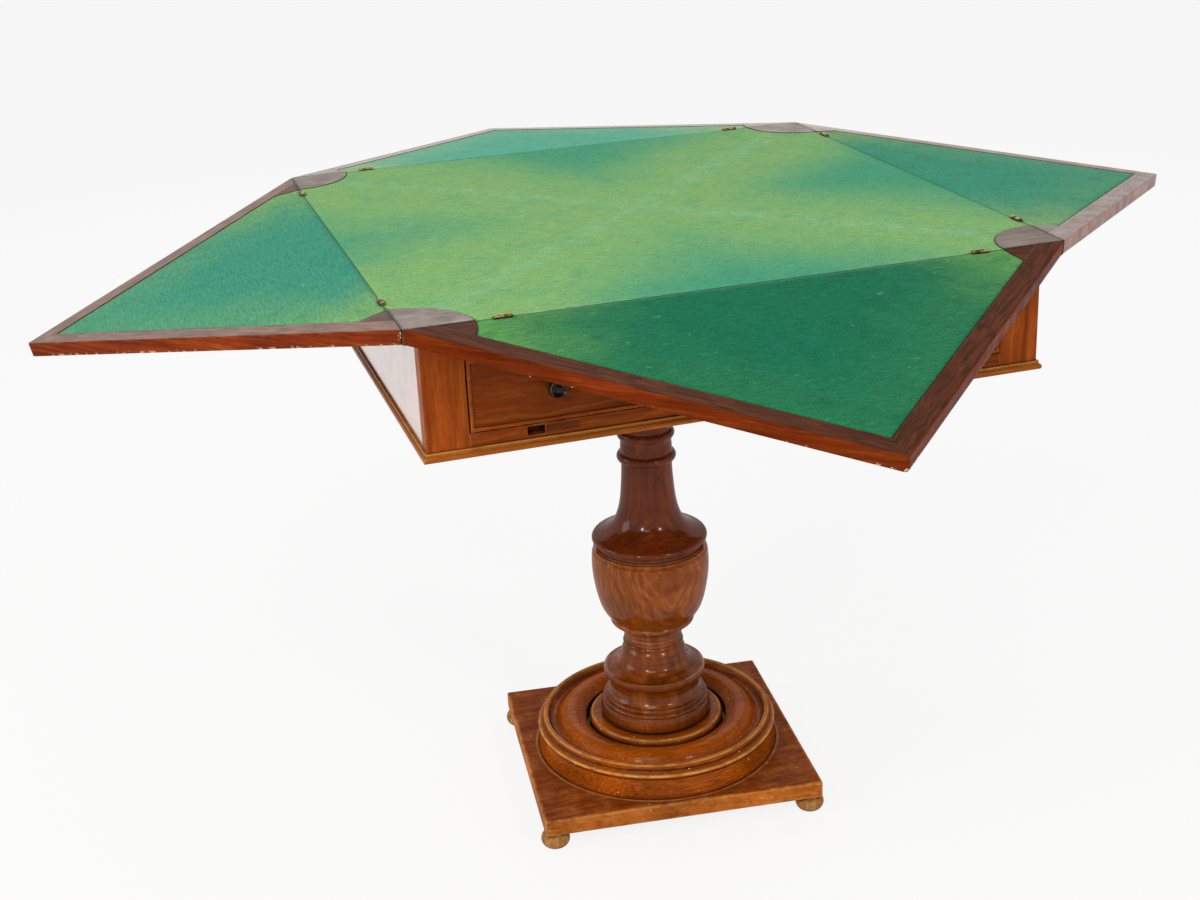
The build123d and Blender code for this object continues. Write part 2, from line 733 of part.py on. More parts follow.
for side in bearing:
    leaf_plane = hinge_plane(side, droop[side])
    bed_plane = leaf_plane.offset(-baize_bed)

    with BuildPart() as leaf_rim:
        with BuildSketch(leaf_plane.offset(-veneer_drop)) as rim_outline:
            triangle(rim_reach)
            *sharp, tip = rim_outline.vertices().sort_by(Axis.Y)
            fillet(tip, tip_round)
            fillet(sharp, corner_round)
            triangle(panel_reach, mode=Mode.SUBTRACT)
        extrude(amount=veneer_drop - board_thick)
        outer_edges = leaf_rim.edges().filter_by(
            lambda edge: abs(leaf_plane.to_local_coords(edge.center()).X)
            + leaf_plane.to_local_coords(edge.center()).Y > rim_reach - tip_round)
        fillet(outer_edges.filter_by(
            lambda edge: abs(edge.tangent_at(0).dot(leaf_plane.z_dir)) < sin(radians(1))), arris_round)
        split(bisect_by=Plane(leaf_plane.origin, x_dir=leaf_plane.y_dir, z_dir=leaf_plane.x_dir),
              keep=Keep.BOTH)
        trim_to_hinge(side)
    finish(leaf_rim, f"leaf_{side}_rim")

    with BuildPart() as leaf_panel:
        with BuildSketch(bed_plane):
            triangle(panel_reach)
        extrude(amount=baize_bed - board_thick)
        trim_to_hinge(side)
        with Locations(leaf_plane):
            hinge_recess(1)
    finish(leaf_panel, f"leaf_{side}_panel")

    with BuildPart() as leaf_ears:
        with BuildSketch(bed_plane):
            with Locations((-top_half, 0), (top_half, 0)):
                Circle(ear_radius)
            triangle(panel_reach, mode=Mode.INTERSECT)
        extrude(amount=baize_bed - veneer_drop)
        trim_to_hinge(side)
    finish(leaf_ears, f"leaf_{side}_ears")

    with BuildPart() as leaf_baize:
        with BuildSketch(bed_plane):
            triangle(baize_reach)
            with Locations((-top_half, 0), (top_half, 0)):
                Circle(ear_radius + ear_gap, mode=Mode.SUBTRACT)
            with Locations((-hinge_place, 0), (hinge_place, 0)):
                Rectangle(2 * notch_half, 2 * notch_depth, mode=Mode.SUBTRACT)
        extrude(amount=baize_thick)
        trim_to_hinge(side)
    finish(leaf_baize, f"leaf_{side}_baize")

    with BuildPart() as leaf_hinges:
        with Locations(leaf_plane):
            for place in hinge_places:
                flap(place, 1)
            flap_holes(1)
            flap_screws(1)
    finish(leaf_hinges, f"leaf_{side}_hinges")
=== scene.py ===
# %% [markdown]
# # An old card table, dressed for the camera
# The solids of the table come in as a fixed frame: boards, case, drawer, turned column and base.
# What they lack is the look of a worn thing: faded cloth, polished walnut, dirt in the turnings.
# This lesson adds that, one finish at a time, and lays the cloth as five new pieces.

# %% Load the frame
from math import cos, pi, radians, sin, sqrt

import bmesh
import bpy
from mathutils import Matrix, Vector


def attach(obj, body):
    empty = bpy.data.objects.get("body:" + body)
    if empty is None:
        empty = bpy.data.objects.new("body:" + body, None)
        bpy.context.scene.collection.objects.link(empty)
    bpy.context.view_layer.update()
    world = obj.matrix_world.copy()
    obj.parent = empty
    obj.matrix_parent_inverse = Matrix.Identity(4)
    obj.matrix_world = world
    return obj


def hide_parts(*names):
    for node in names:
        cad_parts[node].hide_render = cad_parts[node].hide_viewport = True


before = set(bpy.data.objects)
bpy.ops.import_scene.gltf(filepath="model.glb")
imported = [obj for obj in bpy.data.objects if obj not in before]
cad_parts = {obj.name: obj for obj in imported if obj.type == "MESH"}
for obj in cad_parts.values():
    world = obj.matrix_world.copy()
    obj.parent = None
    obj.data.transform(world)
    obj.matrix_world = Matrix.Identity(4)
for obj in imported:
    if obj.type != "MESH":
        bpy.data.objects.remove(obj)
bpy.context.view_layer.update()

# %% [markdown]
# ## Units and colours
# Lengths on the bench are in millimetres and Blender works in metres, so one value turns them.
# Colours are written as the hex values that a screen shows, and Blender mixes light in linear
# values, so each colour goes through one function.

# %% Units and colours
mm = 0.001


def colour(code, alpha=1.0):
    """Linear colour from an sRGB hex code."""
    parts = [int(code[i:i + 2], 16) / 255 for i in (1, 3, 5)]
    return [c / 12.92 if c <= 0.04045 else ((c + 0.055) / 1.055) ** 2.4 for c in parts] + [alpha]


print("half grey on the screen is", round(colour("#808080")[0], 3), "of white light")

# %% [markdown]
# ## Nodes
# Every finish is a tree of nodes. One function adds a node of any kind, sets it up and feeds it,
# and short names stand for the kinds and the settings that come back in every finish.

# %% Adding nodes
number, vector, mapping = "ShaderNodeMath", "ShaderNodeVectorMath", "ShaderNodeMapping"
noise, span, blend = "ShaderNodeTexNoise", "ShaderNodeMapRange", "ShaderNodeMix"
coords, apart, joined = "ShaderNodeTexCoord", "ShaderNodeSeparateXYZ", "ShaderNodeCombineXYZ"
times = {"operation": "MULTIPLY"}
smooth = {"interpolation_type": "SMOOTHSTEP"}
tints = {"data_type": "RGBA"}


def add(tree, kind, given=(), out=0, **settings):
    """Add a node, set it up, feed its inputs, and return one of its outputs.

    A dictionary feeds inputs by name. A row of values feeds the inputs in use, in their order.
    """
    made = tree.nodes.new(kind)
    for name, value in settings.items():
        setattr(made, name, value)
    if isinstance(given, dict):
        pairs = [(made.inputs[name], value) for name, value in given.items()]
    else:
        pairs = zip([s for s in made.inputs if s.enabled], given)
    for socket, value in pairs:
        if isinstance(value, bpy.types.NodeSocket):
            tree.links.new(value, socket)
        else:
            socket.default_value = value
    live = [s for s in made.outputs if s.enabled]
    return made.outputs[out] if isinstance(out, str) else live[out] if live else None


def start_material(name):
    """An empty node material: its tree, the inputs of its shader, and the material."""
    made = bpy.data.materials.new(name)
    made.use_nodes = True
    tree = made.node_tree
    tree.nodes.clear()
    surface = add(tree, "ShaderNodeBsdfPrincipled")
    add(tree, "ShaderNodeOutputMaterial", {"Surface": surface})
    return tree, surface.node.inputs, made


# %% [markdown]
# ## Camera
# The picture was taken standing up, a little to the left of the table's front and leaning
# slightly. The place, the turn and the lens come from matching the four corners of the top, the
# case and the rings of the column, so the camera is set from numbers and not pointed by eye.

# %% Camera
eye = Vector((-0.66347, -2.02353, 1.31069))     # metres
yaw, pitch, roll = 0.2891, 0.3772, -0.048       # radians
focal_share = 1783.78 / 1200                    # focal length in widths of the picture

ahead = Vector((sin(yaw) * cos(pitch), cos(yaw) * cos(pitch), -sin(pitch)))
level = Vector((cos(yaw), -sin(yaw), 0))
above = level.cross(ahead)
right = level * cos(roll) + above * sin(roll)
upward = above * cos(roll) - level * sin(roll)

camera_data = bpy.data.cameras.new("camera")
camera_data.sensor_width = 36
camera_data.lens = focal_share * camera_data.sensor_width
camera = bpy.data.objects.new("camera", camera_data)
turn = Matrix((right, upward, -ahead)).transposed()
camera.matrix_world = Matrix.Translation(eye) @ turn.to_4x4()
bpy.context.scene.collection.objects.link(camera)
bpy.context.scene.camera = camera
bpy.context.scene.view_settings.view_transform = "Standard"
print("lens", round(camera_data.lens, 2), "mm")

# %% [markdown]
# ## Floor
# The table stood on a pale sweep, and one large plane can stand for it. To the eye and in
# reflections most of it glows, so that it stays near white. The rest is plain paint, which still
# carries the table's shadow. The switch between the two serves the room too.

# %% Floor
floor_half = 30             # metres, so that no edge is in sight
floor_glow = 0.88           # the share of the floor's look that is glow

floor_mesh = bpy.data.meshes.new("floor")
floor_mesh.from_pydata(
    [(x * floor_half, y * floor_half, 0) for x, y in ((-1, -1), (1, -1), (1, 1), (-1, 1))],
    [], [(0, 1, 2, 3)])
floor = bpy.data.objects.new("floor", floor_mesh)
bpy.context.scene.collection.objects.link(floor)


def seen_directly(tree):
    """1 for rays from the camera, from a reflection or through glass, else 0."""
    rays = add(tree, "ShaderNodeLightPath").node.outputs
    seen = add(tree, number, (rays["Is Camera Ray"], rays["Is Glossy Ray"]), operation="MAXIMUM")
    return add(tree, number, (seen, rays["Is Transmission Ray"]), operation="MAXIMUM")


tree, inputs, floor_paint = start_material("pale_floor")
inputs["Base Color"].default_value = colour("#F4F4F4")
inputs["Roughness"].default_value = 0.9
paint = inputs["Base Color"].node.outputs["BSDF"]
glow = add(tree, "ShaderNodeEmission", {"Color": colour("#FCFCFC"), "Strength": 1.0})
share = add(tree, number, (seen_directly(tree), floor_glow), **times)
both = add(tree, "ShaderNodeMixShader", (share, paint, glow))
tree.links.new(both, tree.nodes["Material Output"].inputs["Surface"])
floor_mesh.materials.append(floor_paint)
print("floor", 2 * floor_half, "m across")

# %% [markdown]
# ## Room
# Round the table is a white room. The eye and the polish find it white, but as a lamp it gives
# only about half of that, which leaves the lamps enough to do on the round of the column.

# %% Room
room_light = 0.55

world = bpy.data.worlds.new("pale_room")
world.use_nodes = True
bpy.context.scene.world = world
sky = world.node_tree
sky.nodes.clear()
dim = add(sky, "ShaderNodeBackground", {"Color": colour("#FFFFFF"), "Strength": room_light})
bright = add(sky, "ShaderNodeBackground", {"Color": colour("#FBFBFB"), "Strength": 1.0})
chosen = add(sky, "ShaderNodeMixShader", (seen_directly(sky), dim, bright))
add(sky, "ShaderNodeOutputWorld", {"Surface": chosen})
print("nodes of the room:", len(sky.nodes))

# %% [markdown]
# ## Lamps
# Studio lamps are soft squares. A large one stands high at the left, two small ones in front put
# short highlights on the polish, and two more light the left side and the back, so that no side
# of the table is dark. Each is aimed at the table's middle, and together they stay at a level at
# which a colour renders about as it is written.

# %% Lamps
table_middle = Vector((0, 0, 0.6))


def lamp(name, place, size, watts, tint="#FFFFFF"):
    """A square soft lamp at a place, turned to the middle of the table."""
    data = bpy.data.lights.new(name, "AREA")
    data.size = size
    data.energy = watts
    data.color = colour(tint)[:3]
    made = bpy.data.objects.new(name, data)
    made.location = place
    made.rotation_euler = (table_middle - Vector(place)).to_track_quat("-Z", "Y").to_euler()
    bpy.context.scene.collection.objects.link(made)


lamp("high_lamp", (-1.4, -2.4, 3.0), 1.6, 45, "#FFF9F2")
lamp("left_front_lamp", (-2.0, -2.3, 1.95), 0.34, 20, "#FFF9F2")
lamp("right_front_lamp", (1.0, -2.8, 1.95), 0.34, 18, "#FFF9F2")
lamp("left_wall_lamp", (-3.2, 0.6, 1.5), 1.5, 26)
lamp("back_lamp", (1.0, 3.2, 2.4), 2.0, 26)

# %% [markdown]
# ## Leaf frames
# Each leaf hangs from one side of the square top and droops by its own small angle. The same
# frame places its cloth and turns the grain of its rails: u runs along the hinge line, v runs
# outward, w stands up from the leaf.

# %% Frames of the four leaves
top_half = 368 * mm
pin_height = 785.005 * mm
droop = {"front": 9.5, "right": 6.6, "back": 5.7, "left": 11.5}
bearing = {"front": -90, "right": 0, "back": 90, "left": 180}


def leaf_frame(side):
    """Matrix from a leaf's own u, v, w to the table."""
    heading, tilt = radians(bearing[side]), radians(droop[side])
    outward = Vector((cos(heading), sin(heading), 0))
    up = Vector((0, 0, 1))
    u = Vector((sin(heading), -cos(heading), 0))
    v = outward * cos(tilt) - up * sin(tilt)
    w = outward * sin(tilt) + up * cos(tilt)
    turned = Matrix((u, v, w)).transposed().to_4x4()
    return Matrix.Translation(outward * top_half + up * pin_height) @ turned


print("leaves droop by", *droop.values(), "degrees")

# %% [markdown]
# ## Grain
# A board's grain runs along its length, so a pattern that is drawn long in x is turned to lie
# along each piece. The strips of a mitred frame turn with it, and the two rails of a leaf meet
# in a mitre at the leaf's tip. Each way of turning is a function that a finish can be given.

# %% Directions of the grain
def straight_grain(along):
    """Object coordinates turned so that x runs along the grain."""
    turns = {"x": (0, 0, 0), "y": (0, 0, -pi / 2), "z": (0, pi / 2, 0)}

    def coordinates(tree):
        place = add(tree, coords, out="Object")
        return add(tree, mapping, {"Vector": place, "Rotation": turns[along]})
    return coordinates


def parts_of(tree, place):
    """x, y and z of a place, and the sizes of x and y, which are alike on all four sides."""
    x, y, z = add(tree, apart, (place,)).node.outputs
    return x, y, z, *[add(tree, number, (one,), operation="ABSOLUTE") for one in (x, y)]


def mitred_grain(tree):
    """Grain along each strip of a square frame: x where the strip runs along x, else y."""
    x, y, z, size_x, size_y = parts_of(tree, add(tree, coords, out="Object"))
    sideways = add(tree, number, (size_x, size_y), operation="GREATER_THAN")
    along = add(tree, joined, (x, y, z))
    across = add(tree, joined, (y, x, z))
    return add(tree, blend, (sideways, along, across), data_type="VECTOR")


def rail_grain(side):
    """Grain along the two rails of a leaf, which meet in a mitre at its tip."""
    def coordinates(tree):
        place = add(tree, coords, out="Object")
        back = add(tree, mapping, {"Vector": place,
                                   "Rotation": (0, 0, -radians(bearing[side]) - pi / 2)})
        x, y, z = add(tree, apart, (back,)).node.outputs
        size_u = add(tree, number, (x,), operation="ABSOLUTE")
        v = add(tree, number, (y, -1, -top_half), operation="MULTIPLY_ADD")
        flat = add(tree, joined, (size_u, v, z))
        return add(tree, mapping, {"Vector": flat, "Rotation": (0, 0, pi / 4)})
    return coordinates


# %% [markdown]
# ## Clean wood
# Walnut shows long growth lines, short dark pores and cloudy colour. A picture of a board could be
# laid on, but its grain would stop at every arris. Noise fills space, so it runs through a piece
# as real grain does. Here it is stretched along the grain and coloured in three tones. Noise stays
# near 0.5, so here and below a pair such as 0.28 and 0.55 says how much of it is dark and how soft
# the step to pale is.

# %% Growth lines and pores
drift_size, drift_reach = 90 * mm, 60 * mm      # the lines' slow wander along a board
cloud_size = 70 * mm
pore_width = 1.0 * mm       # about three times the real ones, so that they show
pore_length = 14            # in widths


def growth(tree, run, tones, ring, stretch, layers, figure, cloud, pores):
    """Colour of clean wood from its dark, middle and pale tones, with its lines and pores."""
    drift = add(tree, noise, {"Vector": run, "Scale": 1 / drift_size, "Detail": 2.0}, "Color")
    bend = add(tree, vector, (drift, (figure * drift_reach,) * 3), **times)
    bent = add(tree, vector, (run, bend))
    long = add(tree, mapping, {"Vector": bent, "Scale": (1 / stretch, 1, 1 / layers)})
    lines = add(tree, noise, {"Vector": long, "Scale": 1 / (ring * mm), "Detail": 5.0,
                              "Roughness": 0.6, "Distortion": 0.4})
    dark, middle, pale = [colour(tone) for tone in tones]
    first = add(tree, span, (lines, 0.28, 0.55), **smooth)
    body = add(tree, blend, (first, dark, middle), **tints)
    second = add(tree, span, (lines, 0.50, 0.74), **smooth)
    body = add(tree, blend, (second, body, pale), **tints)
    soft = add(tree, noise, {"Vector": run, "Scale": 1 / cloud_size, "Detail": 3.0})
    cloudy = add(tree, span, (soft, 0.3, 0.7, 1 - cloud, 1 + cloud * 0.5))
    body = add(tree, blend, (1.0, body, cloudy), blend_type="MULTIPLY", **tints)
    thin = add(tree, mapping, {"Vector": bent, "Scale": (1 / pore_length, 1, 1)})
    specks = add(tree, noise, {"Vector": thin, "Scale": 1 / pore_width, "Detail": 1.0})
    pored = add(tree, span, (specks, 0.56, 0.7, 0.0, pores), **smooth)
    return add(tree, blend, (pored, body, dark), **tints), lines, pored


print("pores drawn", round(pore_width / mm, 1), "mm wide and",
      round(pore_length * pore_width / mm), "mm long")

# %% [markdown]
# ## Wear
# A century of use rubs the arrises down, chips the lower ones, lets worm in and dulls the faces
# that hands lie on. It could be painted on each piece by hand. Here the arrises are found by
# rounding the normal and the hollows by ambient occlusion, so both follow the real shape, on
# every piece and at any pose. The paler arrises stand for wear and also paint the highlight an
# arris catches. The darker hollows stand for dirt and also paint the shade in them. The grey top
# tint of some rims paints a sheen.

# %% Arrises, spots and tops
arris_starts, arris_full = 0.995, 0.93      # cosines between the rounded and the true normal


def close_to_arris(tree, radius, open_sky):
    """The rounded normal, and how close a spot is to a sharp arris that stands out."""
    rounded = add(tree, "ShaderNodeBevel", {"Radius": radius * mm}, samples=4)
    facing = add(tree, "ShaderNodeNewGeometry", out="Normal")
    agree = add(tree, vector, (rounded, facing), operation="DOT_PRODUCT")
    bent = add(tree, span, (agree, arris_starts, arris_full), **smooth)
    convex = add(tree, span, (open_sky, 0.55, 0.85), **smooth)
    return rounded, add(tree, number, (bent, convex), **times)


def spoiled(tree, body, run, cell, share, size, tint):
    """Round spots of one size, one in some of the cells of a 3D pattern."""
    cells = add(tree, "ShaderNodeTexVoronoi", {"Vector": run, "Scale": 1 / cell}, "Distance")
    spot = add(tree, span, (cells, size / cell * 1.2, size / cell * 0.8), **smooth)
    which = add(tree, apart, (cells.node.outputs["Color"],))
    some = add(tree, number, (which, share), operation="LESS_THAN")
    holes = add(tree, number, (spot, some), **times)
    return add(tree, blend, (holes, body, colour(tint)), **tints)


def facing_up(tree):
    """How far a surface faces up, from -1 to 1."""
    normal = add(tree, coords, out="Normal")
    return add(tree, apart, (normal,), "Z")


def top_tint_and_sheen(tree, body, lines, tint):
    """A top face in another tint over its growth lines; on rims the grey is a painted sheen."""
    tinted = add(tree, blend, (0.8, body, colour(tint)), **tints)
    streaks = add(tree, span, (lines, 0.36, 0.64, 0.7, 1.2), **smooth)
    tinted = add(tree, blend, (1.0, tinted, streaks), blend_type="MULTIPLY", **tints)
    upper = add(tree, span, (facing_up(tree), 0.7, 0.9), **smooth)
    return add(tree, blend, (upper, body, tinted), **tints)


# %% Chips
chip_size, chip_group = 6 * mm, 60 * mm
chip_reach = 4.5            # mm from the arris


def chipped(tree, body, run, open_sky, share):
    """Chips down to pale wood, in groups, along the arrises and mostly the lower ones."""
    small = add(tree, noise, {"Vector": run, "Scale": 1 / chip_size, "Detail": 4.0})
    group = add(tree, noise, {"Vector": run, "Scale": 1 / chip_group, "Detail": 2.0})
    often = add(tree, number, (group, 0.5 * share, small), operation="MULTIPLY_ADD")
    bare = add(tree, span, (often, 0.85, 0.88), **smooth)
    tipped, broad = close_to_arris(tree, chip_reach, open_sky)
    down = add(tree, apart, (tipped,), "Z")
    for mask in (broad, add(tree, span, (facing_up(tree), 0.6, 0.4), **smooth),
                 add(tree, span, (down, 0.1, -0.1, 0.06, 1.0), **smooth)):
        bare = add(tree, number, (bare, mask), **times)
    return add(tree, blend, (bare, body, colour("#E6D4C0")), **tints)


print("chips of about", round(chip_size / mm), "mm, up to", chip_reach, "mm from an arris")

# %% Bands and rings
band_patch = 16 * mm
ring_height = 3 * mm
ring_stretch = 25           # sideways, so that the rings run round a piece


def bands(measure, stops):
    """Colours laid over the wood in bands of a measure, each with its own strength."""
    def marks(tree, body):
        place = add(tree, coords, out="Object")
        value = measure(tree, *add(tree, apart, (place,)).node.outputs)
        low, high = stops[0][0], stops[-1][0]
        ramp = add(tree, "ShaderNodeValToRGB", (add(tree, span, (value, low, high)),)).node
        points = ramp.color_ramp.elements
        points.remove(points[0])
        for index, (at, code, strength) in enumerate(stops):
            share = (at - low) / (high - low)
            point = points.new(share) if index else points[0]
            point.position, point.color = share, colour(code, strength)
        laid, strength = ramp.outputs
        patch = add(tree, noise, {"Vector": place, "Scale": 1 / band_patch, "Detail": 4.0})
        uneven = add(tree, span, (patch, 0.36, 0.6, 0.45, 1.0), **smooth)
        much = add(tree, number, (strength, uneven), **times)
        return add(tree, blend, (much, body, laid), **tints)
    return marks


def turned_rings(tree, body, share):
    """Dark rings that the turner's gouge left round a piece, up its height."""
    place = add(tree, coords, out="Object")
    level = add(tree, mapping, {"Vector": place,
                                "Scale": (1 / ring_stretch, 1 / ring_stretch, 1)})
    rings = add(tree, noise, {"Vector": level, "Scale": 1 / ring_height, "Detail": 3.0,
                              "Roughness": 0.7})
    dark = add(tree, span, (rings, 0.46, 0.66, 0.0, share), **smooth)
    return add(tree, blend, (dark, body, colour("#2A1208")), **tints)


# %% [markdown]
# ## Old polished wood
# All the wood of the table is one recipe with other values: clean wood, then what marks this
# piece, then dirt and painted shade in the hollows, rubbed arrises that also paint a highlight,
# chips and worm, and last the polish. French polish is many thin layers of shellac. Where it is
# thick it acts as a clear coat, and where it has worn the wood is dull, so roughness follows the
# same patches as the rubbing.

# %% The finish of old polished wood
shade_and_dirt_reach = 9 * mm       # dirt and painted shade reach this far from a corner
patch_size = 22 * mm        # rubbing and dullness come and go over this length
coat_roughness = 0.13
relief_depth = 0.25 * mm
# Open worm holes are dark and filled ones pale: their spacing, share, size and tint.
worm_holes = ((8 * mm, 1.0, 0.8 * mm, "#1A0C05"), (11 * mm, 0.7, 0.9 * mm, "#E2B27A"))


def old_wood(name, grain, tones, ring=7, stretch=18, layers=1, figure=0.25, cloud=0.3, pores=0.4,
             roughness=0.34, gloss=0.06, coat=0.0, relief=0.3, worn="#B98A5E", wear=0.6,
             arris=1.6, shade_and_grime=0.6, top=None, chips=0.0, worm=0.0, lathe=0.0, marks=None,
             shift=0.0):
    """A material of old polished wood.

    The wood: tones from dark to pale, ring the width of a growth line in mm, stretch its length
    and layers its depth in widths, figure how far it wanders, cloud and pores how strong they are.
    The polish: roughness, gloss, coat, and relief for how much of the grain can be felt.
    The wear: worn and wear the tint and the strength of worn arrises, which also paint the
    highlight an arris catches, arris their width in mm, grime how dark the hollows are painted,
    for soiling and for shade, top the tint of a top face, chips, worm and lathe how strong these
    are, marks what only this piece has. shift moves the pattern, so that like pieces differ.
    """
    tree, inputs, made = start_material(name)
    moved = (shift, shift * 0.7, shift * 0.3)
    run = add(tree, mapping, {"Vector": grain(tree), "Location": moved})
    body, lines, pored = growth(tree, run, tones, ring, stretch, layers, figure, cloud, pores)
    if top:
        body = top_tint_and_sheen(tree, body, lines, top)
    if lathe:
        body = turned_rings(tree, body, lathe)
    if marks:
        body = marks(tree, body)

    open_sky = add(tree, "ShaderNodeAmbientOcclusion", {"Distance": shade_and_dirt_reach}, "AO", samples=6)
    rounded, arrises = close_to_arris(tree, arris, open_sky)
    # Ambient occlusion darkens the hollows: dirt, and painted shade where a hollow lies in shadow.
    dirt_and_shade = add(tree, span, (open_sky, 0.78, 0.35, 0.0, shade_and_grime), **smooth)
    body = add(tree, blend, (dirt_and_shade, body, colour("#1C0D06")), **tints)
    patchy = add(tree, noise, {"Vector": run, "Scale": 1 / patch_size, "Detail": 4.0})
    often = add(tree, span, (patchy, 0.34, 0.6, 0.0, wear), **smooth)
    # Arrises go paler: rubbed wear, and a painted highlight along each arris.
    rubbed_and_highlit = add(tree, number, (arrises, often), **times)
    body = add(tree, blend, (rubbed_and_highlit, body, colour(worn)), **tints)
    if chips:
        body = chipped(tree, body, run, open_sky, chips)
    if worm:
        for cell, share, size, tint in worm_holes:
            body = spoiled(tree, body, run, cell, worm * share, size, tint)
    tree.links.new(body, inputs["Base Color"])

    matt = add(tree, span, (patchy, 0.3, 0.75, roughness - 0.06, roughness + 0.14))
    duller = add(tree, number, (dirt_and_shade, 0.3, matt), operation="MULTIPLY_ADD")
    tree.links.new(duller, inputs["Roughness"])
    inputs["Specular IOR Level"].default_value = gloss
    inputs["Coat Weight"].default_value = coat
    inputs["Coat Roughness"].default_value = coat_roughness
    height = add(tree, number, (pored, -0.5, lines), operation="MULTIPLY_ADD")
    height = add(tree, number, (patchy, 1.5, height), operation="MULTIPLY_ADD")
    bump = add(tree, "ShaderNodeBump", {"Height": height, "Strength": relief,
                                        "Distance": relief_depth, "Normal": rounded})
    tree.links.new(bump, inputs["Normal"])
    return made


def finish_nodes(made, *names):
    """Give CAD pieces their finish."""
    for name in names:
        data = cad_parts[name].data
        data.materials.clear()
        data.materials.append(made)
    print(made.name, "on", *names)


# %% [markdown]
# ## Case frame
# The front of the case is a frame of walnut: two stiles, a rail over the drawer and a rail under
# it. The stiles stand upright and the rails lie down, so the grain turns with them. The lower
# rail has lost a latch, and where it sat the wood is darker: an oblong, tinted between two
# corners that were measured on the front face.

# %% Where the latch was
latch_low, latch_high = (-224 * mm, 648.5 * mm), (-186 * mm, 656 * mm)      # x and z
latch_strength = 0.6
latch_softness = 0.6 * mm


def latch_patch(tree, body):
    """A darker oblong on the front face."""
    place = add(tree, coords, out="Object")
    x, _, z = add(tree, apart, (place,)).node.outputs
    inside = latch_strength
    for value, start, end in ((x, latch_low[0], latch_high[0]), (z, latch_low[1], latch_high[1])):
        for edge, sign in ((start, 1), (end, -1)):
            soft = sign * latch_softness
            step = add(tree, span, (value, edge - soft, edge + soft), **smooth)
            inside = add(tree, number, (step, inside), **times)
    return add(tree, blend, (inside, body, colour("#3A1C0A")), **tints)


patch = [round((high - low) / mm, 1) for low, high in zip(latch_low, latch_high)]
print("latch patch:", *patch, "mm wide and high")

# %% Stiles and rails
# Walnut, planed and French polished: a clear warm orange, with bare wood on rubbed arrises.
finish_nodes(old_wood("walnut_stiles", straight_grain("z"), ("#74300A", "#984610", "#B05C1C"),
                      ring=9, wear=0.5, worn="#C07838"), "front_stiles")
# The same walnut, browner and nearly black in corners: dirt and old polish, and painted shade,
# since the rails lie in the shadow of the top.
finish_nodes(old_wood("walnut_rails", straight_grain("x"), ("#602606", "#823A0A", "#9A5018"),
                      ring=8, shade_and_grime=0.95, marks=latch_patch), "rail_top", "rail_bottom")

# %% [markdown]
# ## Drawer front
# One walnut board with a raised bead round it and two turned knobs. The bead stands proud, so
# sleeves have rubbed it paler than the board. The knobs are of a black wood that shows brown only
# where fingers held it. Their shapes are in the solids, so only the finish is made here.

# %% Drawer front, bead and knobs
# Walnut, planed and French polished, from a board with livelier lines than the frame's.
finish_nodes(old_wood("walnut_drawer", straight_grain("x"), ("#5C2606", "#783508", "#924A14"),
                      ring=10, shift=0.3, figure=0.4, shade_and_grime=0.9), "drawer_front")
# Walnut, run with a moulding plane: fine lines and a pale, rubbed crest.
finish_nodes(old_wood("walnut_bead", straight_grain("x"), ("#6A2C08", "#8E420C", "#A85A22"),
                      ring=5, wear=0.9, arris=1.2, worn="#CC8A48"), "drawer_beading")
# Black stained hardwood, turned and polished: almost no grain and one small sharp highlight.
finish_nodes(old_wood("knob_wood_black", straight_grain("y"), ("#160A03", "#241207", "#3C2410"),
                      ring=4, stretch=6, roughness=0.26, gloss=0.15, coat=0.1, worn="#A88A62",
                      wear=1.0, arris=1.8, shade_and_grime=0.9), "drawer_knobs")

# %% [markdown]
# ## Sides and back of the case
# The sides kept a thick polish, because no drawer or hand went over them. At a low angle such a
# wall mirrors the room more than it shows its wood. The back stood to a wall and is plainer.

# %% Sides and back
# Walnut under a thick French polish, smooth to the touch: a full clear coat and hardly any relief.
finish_nodes(old_wood("walnut_sides_polished", straight_grain("y"),
                      ("#904C1C", "#B0642C", "#C47C42"), ring=9, roughness=0.12, gloss=0.75,
                      coat=1.0, relief=0.01, shift=0.7), "case_side_left", "case_side_right")
# Walnut, planed and thinly polished: brown, with a soft sheen.
finish_nodes(old_wood("walnut_back", straight_grain("x"), ("#5A2A12", "#81441F", "#9A5C30"),
                      ring=11, roughness=0.5), "case_back")

# %% [markdown]
# ## Moulding
# Four mitred strips run round the foot of the case. Bands of colour give the lips of their
# profile a painted golden highlight and its quirk a dark band of dirt and painted shade. The
# profile is the same all round, so a band of colour for each level paints all four strips at once.

# %% Moulding
# Each stop is a height in metres, a tint and its strength.
moulding_highlights_and_shade = bands(lambda tree, x, y, z: z, [
    (0.6400, "#96541A", 0.6), (0.6428, "#A8642A", 0.6), (0.6438, "#DCA858", 0.7),
    (0.6448, "#58260A", 0.8), (0.6475, "#6C300A", 0.7), (0.6525, "#7C3E16", 0.7),
    (0.6540, "#C08848", 0.7)])
# Walnut, run with a moulding plane and polished: lips with a painted golden highlight over a
# quirk darkened by dirt and painted shade.
finish_nodes(old_wood("walnut_moulding", mitred_grain, ("#7A380C", "#9A5216", "#B47030"),
                      ring=6, roughness=0.28, gloss=0.08, wear=0.9, worn="#D89A4C",
                      shade_and_grime=0.8, marks=moulding_highlights_and_shade), "case_moulding")

# %% [markdown]
# ## Hidden pieces
# Inside, the joiner used plain beech: drawer sides, runners, bearers and blocks. They differ only
# in the way their grain runs, so they share their values.

